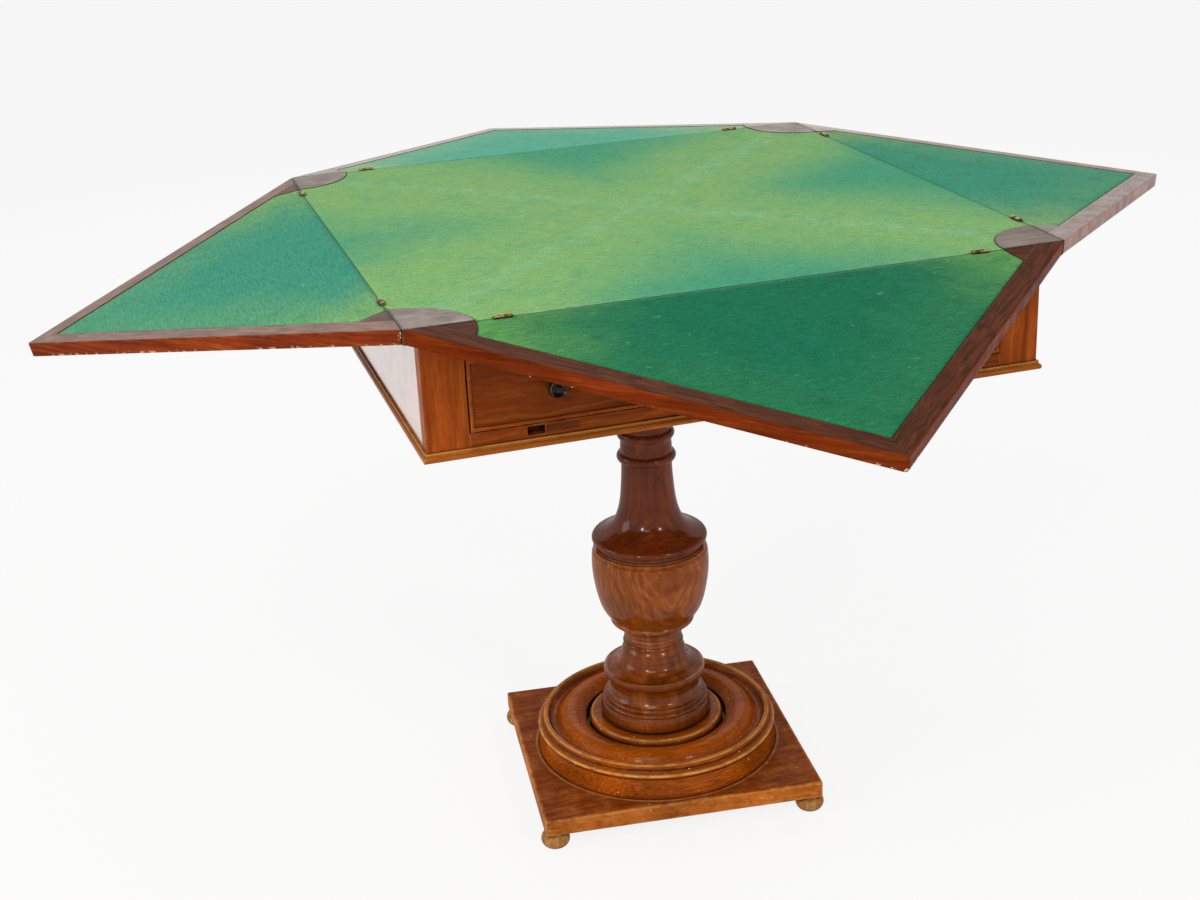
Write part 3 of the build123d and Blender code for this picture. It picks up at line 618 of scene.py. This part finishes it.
# %% Plain beech
# Beech, planed and never polished: pale, matt and even, with short flecks.
beech = ("#8A6238", "#A87C4C", "#C09A68")
plain = {"ring": 8, "roughness": 0.7, "gloss": 0.2, "wear": 0.2}
finish_nodes(old_wood("beech_lengthwise", straight_grain("y"), beech, **plain),
             "drawer_side_left", "drawer_side_right", "drawer_runners", "drawer_guides")
finish_nodes(old_wood("beech_crosswise", straight_grain("x"), beech, **plain),
             "drawer_back", "drawer_floor", "case_floor", "lower_bearer", "upper_bearer",
             "turning_disc")
finish_nodes(old_wood("beech_upright", straight_grain("z"), beech, **plain),
             "corner_blocks", "stop_peg")

# %% [markdown]
# ## Column
# The column is turned in three lengths from darker wood. A turned piece cuts through the growth
# layers of its billet, which gives upright lines on a slim shaft and nested ovals on a swelling
# vase. Both come by themselves, because the pattern fills space and the shape cuts it. The
# pedestal shows the rings of the turner's gouge more than its grain.

# %% Column
# Walnut, turned, stained dark and French polished: a clear coat over red-brown, and quirks
# nearly black from dirt and painted shade.
turned_wood = {"roughness": 0.36, "gloss": 0.0, "coat": 0.4, "shade_and_grime": 0.95,
               "pores": 0.12, "cloud": 0.4}
finish_nodes(old_wood("column_shaft_wood", straight_grain("z"), ("#501F06", "#66290A", "#783814"),
                      ring=4, stretch=24, layers=4, worn="#A86438", wear=0.6, **turned_wood),
             "column_shaft", "column_capital")
finish_nodes(old_wood("column_vase_wood", straight_grain("z"), ("#6A2E0C", "#884410", "#A25E22"),
                      ring=2.4, stretch=9, layers=7, figure=0.5, worn="#C08048", wear=0.7,
                      **turned_wood), "column_vase")
finish_nodes(old_wood("column_pedestal_wood", straight_grain("z"),
                      ("#602808", "#78390C", "#8E4E1C"), ring=12, worn="#C08850", wear=0.7,
                      lathe=0.5, **turned_wood), "column_pedestal")

# %% [markdown]
# ## Disc
# The column stands in a dished disc of amber wood. Brooms and hands have rubbed its lips golden,
# dirt lies in its two quirks, and worm has been in it. The rings of colour also paint light:
# golden highlights on the lips, shade in the quirks, by the boss, inside the lip and at the foot,
# and a brighter middle of the dish. Every ring of colour lies at one place on the profile, so the
# profile is measured first, outward over the dish and then down the outside.

# %% Along the profile of the disc
plinth_top, disc_radius, disc_height = 44 * mm, 161 * mm, 47 * mm
lip = 0.936                 # the dish ends here, as a share of the radius


def from_axis(tree, x, y, z):
    """Distance from the column's axis."""
    flat = add(tree, joined, (x, y))
    return add(tree, vector, (flat,), "Value", operation="LENGTH")


def along_profile(tree, x, y, z):
    """0 to 1 from the axis outward over the dish, then 1 to 2 down the outside."""
    outward = add(tree, number, (from_axis(tree, x, y, z), disc_radius), operation="DIVIDE")
    down = add(tree, span, (z, plinth_top, plinth_top + disc_height, 2.0, 1.0))
    outside = add(tree, number, (outward, lip), operation="GREATER_THAN")
    return add(tree, blend, (outside, outward, down))


print("the lip is", round(lip * disc_radius / mm, 1), "mm from the axis")

# %% Disc
# Each stop is a place on the profile, a tint and its strength.
disc_wear_shade_and_highlights = bands(along_profile, [
    (0.50, "#7A3C10", 0.5), (0.525, "#8E4C16", 0.5), (0.538, "#D89C50", 0.8),
    (0.552, "#4A200C", 0.6), (0.592, "#2A1206", 0.5), (0.605, "#7E3A0C", 0.5),
    (0.68, "#A4540C", 0.3), (0.80, "#A4540C", 0.3), (0.855, "#68290A", 0.6),
    (0.905, "#4A1C08", 0.8), (0.918, "#D09448", 0.8), (0.930, "#8E5018", 0.7),
    (1.03, "#8A4A14", 0.7), (1.06, "#D89C50", 0.8), (1.085, "#84420F", 0.7),
    (1.17, "#481A06", 0.8), (1.225, "#5A260A", 0.8), (1.26, "#84420F", 0.7),
    (1.30, "#E0A858", 0.85), (1.335, "#94501A", 0.7), (1.38, "#4A1E08", 0.8),
    (1.43, "#381404", 0.6), (1.46, "#A4540C", 0.0), (1.96, "#A4540C", 0.0),
    (2.0, "#2A1004", 0.7)])
# Walnut, turned on the face and thinly polished: amber, with worm holes, lips rubbed golden and
# given painted highlights, and quirks darkened by dirt and painted shade.
finish_nodes(old_wood("disc_wood_amber", straight_grain("x"), ("#74320A", "#96460C", "#B4661C"),
                      ring=3, stretch=30, layers=0.6, figure=0.12, roughness=0.34, gloss=0.0,
                      coat=0.12, shade_and_grime=0.9, wear=0.3, worn="#D89C4C", cloud=0.5, pores=0.2,
                      worm=0.6, marks=disc_wear_shade_and_highlights), "base_disc")

# %% [markdown]
# ## Plinth and feet
# The plinth is a plain board on bun feet. Its polish has gone in blotches, from red where it is
# left to straw where it is off, so three sizes of noise are laid over each other. Round the disc
# lie a pale scrape and a dark ring at its foot, which is dirt and painted shade where disc and
# plinth meet.

# %% Plinth and feet
blotches = ((60, "#702C0A"), (34, "#B0703A"), (10, "#5E2608"))      # sizes in mm
disc_foot_shade_and_scrape = bands(from_axis, [      # distances in metres
    (0.158, "#2E1204", 0.9), (0.1625, "#4A2008", 0.7), (0.164, "#C09060", 0.5),
    (0.165, "#C09060", 0.5), (0.167, "#5A2A0C", 0.4), (0.180, "#5A2A0C", 0.0)])


def plinth_marks(tree, body):
    """Blotches, a pale scrape, and a dark ring of soiling and painted shade at the disc's foot."""
    place = add(tree, coords, out="Object")
    for size, code in blotches:
        blot = add(tree, noise, {"Vector": place, "Scale": 1 / (size * mm), "Detail": 8.0,
                                 "Roughness": 0.72})
        much = add(tree, span, (blot, 0.42, 0.8, 0.0, 0.7), **smooth)
        body = add(tree, blend, (much, body, colour(code)), **tints)
    return disc_foot_shade_and_scrape(tree, body)


# Walnut, planed, its polish mostly kicked off: dull, streaky, with broad pale arrises.
finish_nodes(old_wood("plinth_wood_dull", straight_grain("x"), ("#A4541A", "#BC6C2A", "#CC863C"),
                      ring=5, stretch=16, roughness=0.46, gloss=0.02, wear=1.0, arris=5.0,
                      worn="#D2944C", cloud=0.4, shade_and_grime=0.5, pores=0.6, worm=0.4, top="#702C06",
                      marks=plinth_marks), "base_plate")
# Beech, turned, rubbed bare on the floor: straw yellow and matt.
finish_nodes(old_wood("foot_wood_rubbed", straight_grain("z"), ("#805428", "#AC7A42", "#C4965A"),
                      ring=5, roughness=0.5, wear=0.5, worn="#C9A878"), "bun_feet")

# %% [markdown]
# ## Ears
# A quarter-round ear fills each corner of the square, and smaller ones sit on the leaves, so that
# the cloth never reaches a corner. Cards and hands have rubbed the polish off them, which leaves
# them greyer than the rims. The grey, and the paler tones of the right and back ears, also paint
# the reflection of the pale room that they show at a low angle. Ears and leaves were sawn apart
# along the hinge lines, and those cuts hold dirt and lie in shade. A cut is too narrow to show by
# itself, so a ragged dark line is drawn along it, which paints both.

# %% Dirt in the saw cuts
seam_break = 5 * mm
seam_narrow, seam_broad = 1.6 * mm, 3.6 * mm        # from the hinge line to either side


def hinge_seam(tree, body):
    """Dirt and painted shade in the saw cuts along the hinge lines, a little ragged."""
    place = add(tree, coords, out="Object")
    sizes = parts_of(tree, place)[3:]
    off = add(tree, number, (add(tree, number, sizes, operation="MAXIMUM"), -top_half))
    off = add(tree, number, (off,), operation="ABSOLUTE")
    ragged = add(tree, noise, {"Vector": place, "Scale": 1 / seam_break, "Detail": 3.0})
    width = add(tree, span, (ragged, 0.35, 0.65, seam_narrow, seam_broad))
    # The dark line paints the dirt in a cut and the shade that fills it.
    near = add(tree, number, (off, width), operation="LESS_THAN")
    dirt_and_shade = add(tree, number, (near, 0.95), **times)
    return add(tree, blend, (dirt_and_shade, body, colour("#120A06")), **tints)


print("dirt in the cuts", round(seam_narrow / mm, 1), "to", round(seam_broad / mm, 1),
      "mm to either side")

# %% Ears
# Walnut with its polish rubbed off: brown-grey, fine in the grain. The front ones are darkest,
# and the right and back ones still shine a little. Their paler, greyer tones add a painted
# reflection to that shine.
brown_ear, pale_ear = ("#3A1A0C", "#4C2614", "#5E3620"), ("#5E4638", "#7A6050", "#94796A")
ears = {"front": {"tones": brown_ear, "gloss": 0.02},
        "right": {"tones": pale_ear, "gloss": 0.4},
        "back": {"tones": pale_ear, "gloss": 0.4},
        "left": {"tones": ("#4E3428", "#664838", "#7C5C4C"), "gloss": 0.1}}
for index, side in enumerate(bearing):
    finish_nodes(old_wood(f"ear_wood_{side}", straight_grain("x"), **ears[side], ring=4,
                          roughness=0.4, worn="#A08C7C", wear=0.3, marks=hinge_seam,
                          shift=0.1 * index), f"leaf_{side}_ears")
# The ears of the square: rubbed walnut, its grey partly a painted reflection.
finish_nodes(old_wood("ear_wood_rubbed_and_sheen", straight_grain("x"), ("#56453A", "#6E5C4E", "#867464"),
                      ring=4, roughness=0.42, gloss=0.16, worn="#A89884", wear=0.3,
                      marks=hinge_seam), "corner_ears")

# %% [markdown]
# ## Rims and panels
# The leaves are edged with red-brown rails, mitred at the tips. They are duller on top, where
# hands lie, than on the outer edges, and there the lower arris is chipped down to pale wood. Each
# side has had its own share of light and hands, so each has its own tones, in one table that a
# loop goes through. Those tones also paint how light and reflection fall on each side: darker at
# the front and the left, and a grey painted sheen on the tops of the right, back and left. The
# panels are the boards under the cloth, and show only from below or when a leaf is folded.

# %% Rims
# Walnut, planed, stained red and French polished: red-brown edges, tops with streaks, greyer
# where a painted sheen lies on them.
bright_rim = {"tones": ("#6A280C", "#84380F", "#984A1C"), "top": "#725E52", "worn": "#A86840",
              "gloss": 0.5, "chips": 0.8}
rims = {"front": {"tones": ("#581E06", "#6E2A0A", "#823C18"), "top": "#482C1E",
                  "worn": "#34140A", "gloss": 0.01, "chips": 0.86},
        "right": bright_rim,
        "back": bright_rim,
        "left": {"tones": ("#5C1E06", "#7C2E0A", "#944414"), "top": "#847066",
                 "worn": "#4A1C0E", "gloss": 0.05, "chips": 1.1}}
for index, side in enumerate(bearing):
    finish_nodes(old_wood(f"rim_walnut_{side}", rail_grain(side), **rims[side], ring=4,
                          stretch=40, roughness=0.3, wear=0.7, shift=0.2 * index),
                 f"leaf_{side}_rim")

# %% Panels and board
# Walnut, planed and only waxed: brown and rather matt, with broad lines.
board = ("#4A2413", "#6E3A20", "#86502E")
for index, side in enumerate(bearing):
    along = "x" if side in ("front", "back") else "y"
    finish_nodes(old_wood(f"panel_walnut_{side}", straight_grain(along), board, ring=12,
                          roughness=0.5, shift=0.2 * index), f"leaf_{side}_panel")
finish_nodes(old_wood("board_walnut", straight_grain("x"), board, ring=12, roughness=0.45),
             "top_board")

# %% [markdown]
# ## Metal
# Hinges are cast in brass and filed, bolts and screws are of iron. Both tarnish, first in hollows
# and then in patches, and a tarnished metal is still a metal: its colour and its roughness change
# together, from one mask.

# %% Brass and iron
tarnish_size, tarnish_reach = 6 * mm, 3 * mm
pitting = 0.1 * mm


def old_metal(name, bright, dull, roughness):
    """Metal with tarnish in its hollows and in patches."""
    tree, inputs, made = start_material(name)
    place = add(tree, coords, out="Object")
    patches = add(tree, noise, {"Vector": place, "Scale": 1 / tarnish_size, "Detail": 4.0})
    hollow = add(tree, "ShaderNodeAmbientOcclusion", {"Distance": tarnish_reach}, "AO", samples=6)
    tarnish = add(tree, number, (add(tree, span, (patches, 0.4, 0.65), **smooth),
                                 add(tree, span, (hollow, 0.9, 0.3), **smooth)),
                  operation="MAXIMUM")
    body = add(tree, blend, (tarnish, colour(bright), colour(dull)), **tints)
    tree.links.new(body, inputs["Base Color"])
    inputs["Metallic"].default_value = 1.0
    rough = add(tree, number, (tarnish, 0.25, roughness), operation="MULTIPLY_ADD")
    tree.links.new(rough, inputs["Roughness"])
    bump = add(tree, "ShaderNodeBump", {"Height": patches, "Strength": 0.3, "Distance": pitting})
    tree.links.new(bump, inputs["Normal"])
    return made


# Brass, cast and filed, gone brown: dull gold where the knuckles rub, olive brown elsewhere.
finish_nodes(old_metal("aged_brass", "#947F48", "#4A3D22", 0.38), "hinge_flaps_top",
             "hinge_pins", "hinge_screws_top", *[f"leaf_{side}_hinges" for side in bearing])
# Iron, forged and cut, dry and hidden in the case: grey, going to brown.
finish_nodes(old_metal("plain_iron", "#8A8680", "#4A4440", 0.42), "pivot_bolt", "pivot_washer",
             "pivot_nut", "capital_screws", "knob_screws")

# %% [markdown]
# ## Faded cloth
# Baize is a woollen cloth with a short felted nap, glued to the board. Folded, the leaves meet
# along the diagonals of the square, so light and dust came in there: the diagonals have faded to
# yellow-green, and the middles of the four sides, covered for a century, are still blue-green.
# On the leaves the same fading shows round the ears and along the rims. Both follow from
# distances on the flat sheet, made wavy by a slow noise.

# %% Where the baize has faded
leaf_width, rim_width, rim_gap = 735.2, 24, 1.8     # mm, with the gap as it is at the tip
cloth_reach = (leaf_width / 2 - rim_width * sqrt(2) - rim_gap) * mm     # hinge line to the tip
# The cloth is wholly faded up to the first distance and keeps its colour from the second.
faded_by_ears = (70 * mm, 240 * mm)                 # from the ends of the hinge line
faded_by_rims = (0, 120 * mm)
faded_by_diagonals = (30 * mm, 220 * mm)
left_edge, left_extra = -340 * mm, 70 * mm          # the left side faded this much further in
wander_size, wander_reach = 150 * mm, 30 * mm
wander_shift = (0.35, 0.8, 0)                       # puts the pale clouds where they are


def off_diagonal(tree, u, v):
    """How far a place is off the diagonals of the square, along x."""
    off = add(tree, number, (u, v), operation="SUBTRACT")
    return add(tree, number, (off,), operation="ABSOLUTE")


def kept_share(tree, place, slant):
    """1 where the cloth kept its colour and 0 where it faded, from the sheet's flat places.

    A leaf has a slant: how much its cloth faded along the two outer edges.
    """
    shifted = add(tree, mapping, {"Vector": place, "Location": wander_shift})
    cloud = add(tree, noise, {"Vector": shifted, "Scale": 1 / wander_size, "Detail": 4.0,
                              "Roughness": 0.55})
    wander = add(tree, span, (cloud, 0.3, 0.7, -wander_reach, wander_reach))
    x, _, _, u, v = parts_of(tree, place)
    if slant is not None:
        along = add(tree, number, (u, top_half), operation="SUBTRACT")
        spot = add(tree, joined, (along, v))
        far = add(tree, vector, (spot,), "Value", operation="LENGTH")
        by_ears = add(tree, span, (add(tree, number, (far, wander)), *faded_by_ears),
                      **smooth)
        inward = add(tree, number, (cloth_reach, add(tree, number, (u, v))), operation="SUBTRACT")
        inward = add(tree, number, (inward, 1 / sqrt(2), wander), operation="MULTIPLY_ADD")
        by_rims = add(tree, span, (inward, *faded_by_rims, 1 - slant, 1.0), **smooth)
        return add(tree, number, (by_ears, by_rims), **times)
    off = add(tree, number, (off_diagonal(tree, u, v), 1 / sqrt(2)), **times)
    # The left side has faded most, as if its leaf had lain open more often than the others.
    off = add(tree, number, (off, add(tree, span, (x, left_edge, 0.0, -left_extra, 0.0))))
    return add(tree, span, (add(tree, number, (off, wander)), *faded_by_diagonals), **smooth)


print("a leaf's cloth reaches", round(cloth_reach / mm, 1), "mm from the hinge line")

# %% [markdown]
# ## Lines where the leaves meet
# Where the edges of two closed leaves pressed on the square, the nap is worn pale: a fine line
# along each diagonal and a soft, broad one under it. Both are broken by a noise, because the
# leaves never touched all along.

# %% Where the leaves meet
meeting_widths = ((4 * mm, 0.2), (40 * mm, 0.22))       # reach and strength of each line
meeting_breaks = 30 * mm


def meeting_lines(tree, place, body):
    """Pale worn lines on the square, along the diagonals where the closed leaves meet."""
    off = off_diagonal(tree, *parts_of(tree, place)[3:])
    broken = add(tree, noise, {"Vector": place, "Scale": 1 / meeting_breaks, "Detail": 5.0,
                               "Roughness": 0.7})
    for reach, strength in meeting_widths:
        line = add(tree, span, (off, reach, 0.2 * reach, 0.0, strength), **smooth)
        worn = add(tree, number, (line, add(tree, span, (broken, 0.38, 0.62), **smooth)), **times)
        body = add(tree, blend, (worn, body, colour("#8CC4A0")), **tints)
    return body


print("worn lines reach", *[round(reach / mm) for reach, _ in meeting_widths], "mm")

# %% [markdown]
# ## Old baize
# Wool, woven, milled and teased to a nap: to the eye a matt, soft colour with a trace of sheen,
# fine streaks along the threads and fuzz between them. Bleached flecks and darker patches lie
# over the fading, and a dark line along the cut edges paints dirt and the shade in the gap to
# the wood. Its pattern lies on the flat sheet, so it goes with the cloth wherever the leaf goes.

# %% The finish of old baize
thread_gap = 2.5 * mm       # five times the real one, so that it shows
thread_turn = radians(4)    # the cloth was laid a little askew
thread_squeeze = 0.14       # draws the noise out along the threads
fuzz_size = 2.4 * mm        # coarser than the real one too, for the same reason
patch_spacing, fleck_spacing = 45 * mm, 14 * mm
undarkened_from, darkest_to = 1.4 * mm, 0.2 * mm           # off the cut edge
nap_relief = 0.3 * mm


def old_baize(name, deep, faded, deeper, slant=None):
    """Felted cloth: its kept, its faded and its darkest tint, and the slant of a leaf."""
    tree, inputs, made = start_material(name)
    place = add(tree, "ShaderNodeUVMap", uv_map="flat")
    body = add(tree, blend, (kept_share(tree, place, slant), colour(faded), colour(deep)), **tints)
    patch = add(tree, noise, {"Vector": place, "Scale": 1 / patch_spacing, "Detail": 5.0,
                              "Roughness": 0.65})
    worst = add(tree, span, (patch, 0.45, 0.75), **smooth)
    darker = add(tree, blend, (0.5, body, colour(deeper)), **tints)
    body = add(tree, blend, (worst, body, darker), **tints)
    bleached = add(tree, noise, {"Vector": place, "Scale": 1 / fleck_spacing, "Detail": 3.0})
    flecks = add(tree, span, (bleached, 0.64, 0.78, 0.0, 0.55), **smooth)
    body = add(tree, blend, (flecks, body, colour(faded)), **tints)
    if slant is None:
        body = meeting_lines(tree, place, body)

    woven = add(tree, mapping, {"Vector": place, "Rotation": (0, 0, thread_turn),
                                "Scale": (thread_squeeze, 1, 1)})
    streak = add(tree, noise, {"Vector": woven, "Scale": 1 / thread_gap, "Detail": 3.0,
                               "Roughness": 0.7})
    fuzz = add(tree, noise, {"Vector": place, "Scale": 1 / fuzz_size, "Detail": 3.0})
    nap = add(tree, number, (streak, fuzz))
    shade = add(tree, span, (nap, 0.75, 1.25, 0.7, 1.28))
    body = add(tree, blend, (1.0, body, shade), blend_type="MULTIPLY", **tints)
    # A dark line along the cut edge: dirt, and painted shade of the gap between cloth and wood.
    rim = add(tree, "ShaderNodeAttribute", out="Fac", attribute_name="edge")
    near = add(tree, span, (rim, undarkened_from, darkest_to), **smooth)
    dirt_and_shade_tint = add(tree, blend, (0.5, body, colour("#1A2416")), **tints)
    body = add(tree, blend, (near, body, dirt_and_shade_tint), **tints)
    tree.links.new(body, inputs["Base Color"])
    inputs["Roughness"].default_value = 0.95
    inputs["Sheen Weight"].default_value = 0.05
    inputs["Sheen Roughness"].default_value = 0.4
    inputs["Specular IOR Level"].default_value = 0.05
    bump = add(tree, "ShaderNodeBump", {"Height": nap, "Strength": 0.6, "Distance": nap_relief})
    tree.links.new(bump, inputs["Normal"])
    return made


print("threads drawn", round(thread_gap / mm, 1), "mm apart")

# %% [markdown]
# ## Cutting the cloth
# Each sheet is cut to its bed: round the ears, round the hinge knuckles and straight along the
# hinge line. The cut could be drawn by hand, but both outlines follow from a few sizes of the
# table, so they are worked out from those.

# %% Outline of the square sheet
ear_reach = 75.0 * mm        # ear radius and the dark gap round it
board_edge = 367.85 * mm     # middle of the square to the edge of its board
hinge_at = 265 * mm          # middle of a side to the middle of a hinge
notch_half = 9.8 * mm        # a notch for the knuckles: half its width, and how deep it goes
notch_deep = 2.9 * mm
arc_steps = 18


def slope_angle(rise, run):
    """Angle of a slope, from its rise and its run."""
    return Vector((run, rise)).angle_signed(Vector((1, 0)))


def top_outline():
    """The square sheet: four sides with two notches each, joined by arcs round the ears."""
    gap = top_half - board_edge
    swing = sqrt(ear_reach ** 2 - gap ** 2)
    side = [(-(top_half - swing), 0)]
    for middle in (-hinge_at, hinge_at):
        side += [(middle - notch_half, 0), (middle - notch_half, notch_deep),
                 (middle + notch_half, notch_deep), (middle + notch_half, 0)]
    side.append((top_half - swing, 0))
    first, last = pi - slope_angle(gap, swing), pi / 2 + slope_angle(gap, swing)
    for step in range(1, arc_steps):
        angle = first - (first - last) * step / arc_steps
        side.append((top_half + ear_reach * cos(angle), ear_reach * sin(angle) - gap))
    points = []
    for quarter in range(4):
        turned = Matrix.Rotation(quarter * pi / 2, 2)
        points += [turned @ Vector((x, y - board_edge)) for x, y in side]
    return points


print("corners of the square sheet:", len(top_outline()))

# %% Outline of a leaf's sheet
leaf_edge = 0.15 * mm        # hinge line to the cloth of a leaf
fine_turn = radians(0.05)    # how closely the end of an arc is sought


def leaf_outline():
    """A leaf's sheet: the hinge line with two notches, an arc at each ear, two slanted edges."""
    half = [(hinge_at - notch_half, leaf_edge), (hinge_at - notch_half, notch_deep),
            (hinge_at + notch_half, notch_deep), (hinge_at + notch_half, leaf_edge)]
    turn_end = 0
    while top_half - ear_reach * cos(turn_end) + ear_reach * sin(turn_end) < cloth_reach:
        turn_end += fine_turn
    turn_start = leaf_edge / ear_reach
    for step in range(arc_steps + 1):
        angle = turn_start + (turn_end - turn_start) * step / arc_steps
        half.append((top_half - ear_reach * cos(angle), ear_reach * sin(angle)))
    points = half + [(0, cloth_reach)] + [(-x, y) for x, y in reversed(half)]
    return [Vector(p) for p in points]


print("corners of a leaf's sheet:", len(leaf_outline()))

# %% [markdown]
# ## A flat sheet
# An outline is one face with many corners. Sliced both ways it becomes a grid that can bend, and
# its edges stay exact. The flat places go with it as a UV map, for the pattern of the cloth, and
# so does the distance to the cut edge, for the dark edge line of dirt and painted shade and for
# the next step.

# %% Slicing an outline into a grid
grid_step = 7 * mm
same_point = 0.02 * mm


def edge_distance(point, outline):
    """Distance from a point to the nearest side of an outline."""
    best = 1.0
    for a, b in zip(outline, outline[1:] + outline[:1]):
        run = b - a
        share = max(0.0, min(1.0, (point - a).dot(run) / run.length_squared))
        best = min(best, (point - a - run * share).length)
    return best


def flat_cloth(name, outline):
    """A flat mesh of an outline, sliced both ways, with its flat places as UV map."""
    work = bmesh.new()
    work.faces.new([work.verts.new((p.x, p.y, 0)) for p in outline])
    for axis in (Vector((1, 0, 0)), Vector((0, 1, 0))):
        values = [Vector((p.x, p.y, 0)).dot(axis) for p in outline]
        count = int((max(values) - min(values)) / grid_step)
        for step in range(1, count + 1):
            at = min(values) + step * (max(values) - min(values)) / (count + 1)
            bmesh.ops.bisect_plane(work, geom=work.verts[:] + work.edges[:] + work.faces[:],
                                   plane_co=axis * at, plane_no=axis, dist=same_point)
    bmesh.ops.triangulate(work, faces=[f for f in work.faces if len(f.verts) > 4])
    mesh = bpy.data.meshes.new(name)
    work.to_mesh(mesh)
    work.free()
    flat = mesh.uv_layers.new(name="flat")
    for loop in mesh.loops:
        flat.data[loop.index].uv = mesh.vertices[loop.vertex_index].co.xy
    edge = mesh.attributes.new("edge", "FLOAT", "POINT")
    for vertex in mesh.vertices:
        edge.data[vertex.index].value = edge_distance(vertex.co.xy, outline)
    return mesh


# %% [markdown]
# ## Laying the cloth
# Glue draws the cut edges down, and the nap stands in low waves. A Geometry Nodes tree moves the
# sheet that way. It is the same for all five sheets, so its sizes are named inputs, and a seed
# makes each sheet's waves its own. Solidify then gives the cloth its thickness.

# %% A tree that lays a sheet
laying = bpy.data.node_groups.new("lay_cloth", "GeometryNodeTree")
for name, kind, value in (("Sheet", "NodeSocketGeometry", None),
                          ("Nap height", "NodeSocketFloat", 0.12 * mm),
                          ("Nap size", "NodeSocketFloat", 28 * mm),
                          ("Tuck depth", "NodeSocketFloat", 0.45 * mm),
                          ("Tuck width", "NodeSocketFloat", 2.5 * mm),
                          ("Seed", "NodeSocketFloat", 1.0),
                          ("Cloth", "NodeSocketMaterial", None)):
    wanted = laying.interface.new_socket(name=name, in_out="INPUT", socket_type=kind)
    if value is not None:
        wanted.default_value = value
laying.interface.new_socket(name="Laid", in_out="OUTPUT", socket_type="NodeSocketGeometry")

given = add(laying, "NodeGroupInput").node.outputs
size = add(laying, number, (1.0, given["Nap size"]), operation="DIVIDE")
bumps = add(laying, noise, {"Vector": add(laying, "GeometryNodeInputPosition"),
                            "W": given["Seed"], "Scale": size, "Detail": 3.0},
            noise_dimensions="4D")
lift = add(laying, number, (add(laying, number, (bumps, -0.5)), given["Nap height"]), **times)
rim = add(laying, "GeometryNodeInputNamedAttribute", {"Name": "edge"}, data_type="FLOAT")
tucked = add(laying, span, (rim, 0.0, given["Tuck width"], 1.0, 0.0), **smooth)
drop = add(laying, number, (tucked, given["Tuck depth"]), **times)
rise = add(laying, number, (lift, drop), operation="SUBTRACT")
move = add(laying, joined, {"Z": rise})
moved = add(laying, "GeometryNodeSetPosition", {"Geometry": given["Sheet"], "Offset": move})
real = add(laying, "GeometryNodeRealizeInstances", {"Geometry": moved})
painted = add(laying, "GeometryNodeSetMaterial", {"Geometry": real, "Material": given["Cloth"]})
add(laying, "NodeGroupOutput", {"Laid": painted})
print("nodes in the tree:", len(laying.nodes))


# %% Laying a sheet with the tree
cloth_thick = 0.5 * mm


def lay(name, mesh, place, cloth, seed):
    """Run the tree on a flat sheet, give it thickness, and put the result where it lies."""
    work = bpy.data.objects.new(name + "_flat", mesh)
    bpy.context.scene.collection.objects.link(work)
    pressed = work.modifiers.new("lay", "NODES")
    pressed.node_group = laying
    named = {item.name: item.identifier for item in laying.interface.items_tree}
    pressed[named["Seed"]] = float(seed)
    pressed[named["Cloth"]] = cloth
    thick = work.modifiers.new("thickness", "SOLIDIFY")
    thick.thickness = cloth_thick
    thick.offset = -1
    ready = work.evaluated_get(bpy.context.evaluated_depsgraph_get())
    laid = bpy.data.meshes.new_from_object(ready)
    laid.transform(place)
    laid.name = name
    bpy.data.objects.remove(work)
    made = bpy.data.objects.new(name, laid)
    bpy.context.scene.collection.objects.link(made)
    for polygon in laid.polygons:
        polygon.use_smooth = True
    print(name, len(laid.polygons), "faces")
    return made


# %% [markdown]
# ## The five sheets
# The square sheet rides on the top and each of the others on its own leaf, so that none has to
# stretch when a leaf folds. Each takes the place of a plain slab in the solids.

# %% The sheet of the square top
nap_top = 0.5 * mm           # the top of the nap lies this far below the hinge pins
outline = top_outline()
top_cloth = lay("baize_centre", flat_cloth("baize_centre", outline),
                Matrix.Translation((0, 0, pin_height - nap_top)),
                old_baize("baize_of_the_square", "#3F9672", "#7BAC68", "#4F9E74"), 1)
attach(top_cloth, "top")
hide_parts("top_baize")

# %% The sheets of the four leaves
# Each leaf's tones hold its fading and also painted light: darkest in front, palest at the back.
leaf_tones = {"front": ("#116A4B", "#5A9450", "#0C583C"),
              "right": ("#2C8E70", "#7AA46A", "#237657"),
              "back": ("#52AA8E", "#96BC8A", "#3F967A"),
              "left": ("#368E74", "#74A464", "#2A8068")}
slants = {"front": 0.12, "right": 0.25, "back": 0.3, "left": 0.3}
outline = leaf_outline()
for index, side in enumerate(bearing):
    cloth = lay(f"baize_{side}", flat_cloth(f"baize_{side}", outline),
                leaf_frame(side) @ Matrix.Translation((0, 0, -nap_top)),
                old_baize(f"baize_of_the_{side}_leaf", *leaf_tones[side], slants[side]),
                2 + index)
    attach(cloth, f"leaf_{side}")
    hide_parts(f"leaf_{side}_baize")
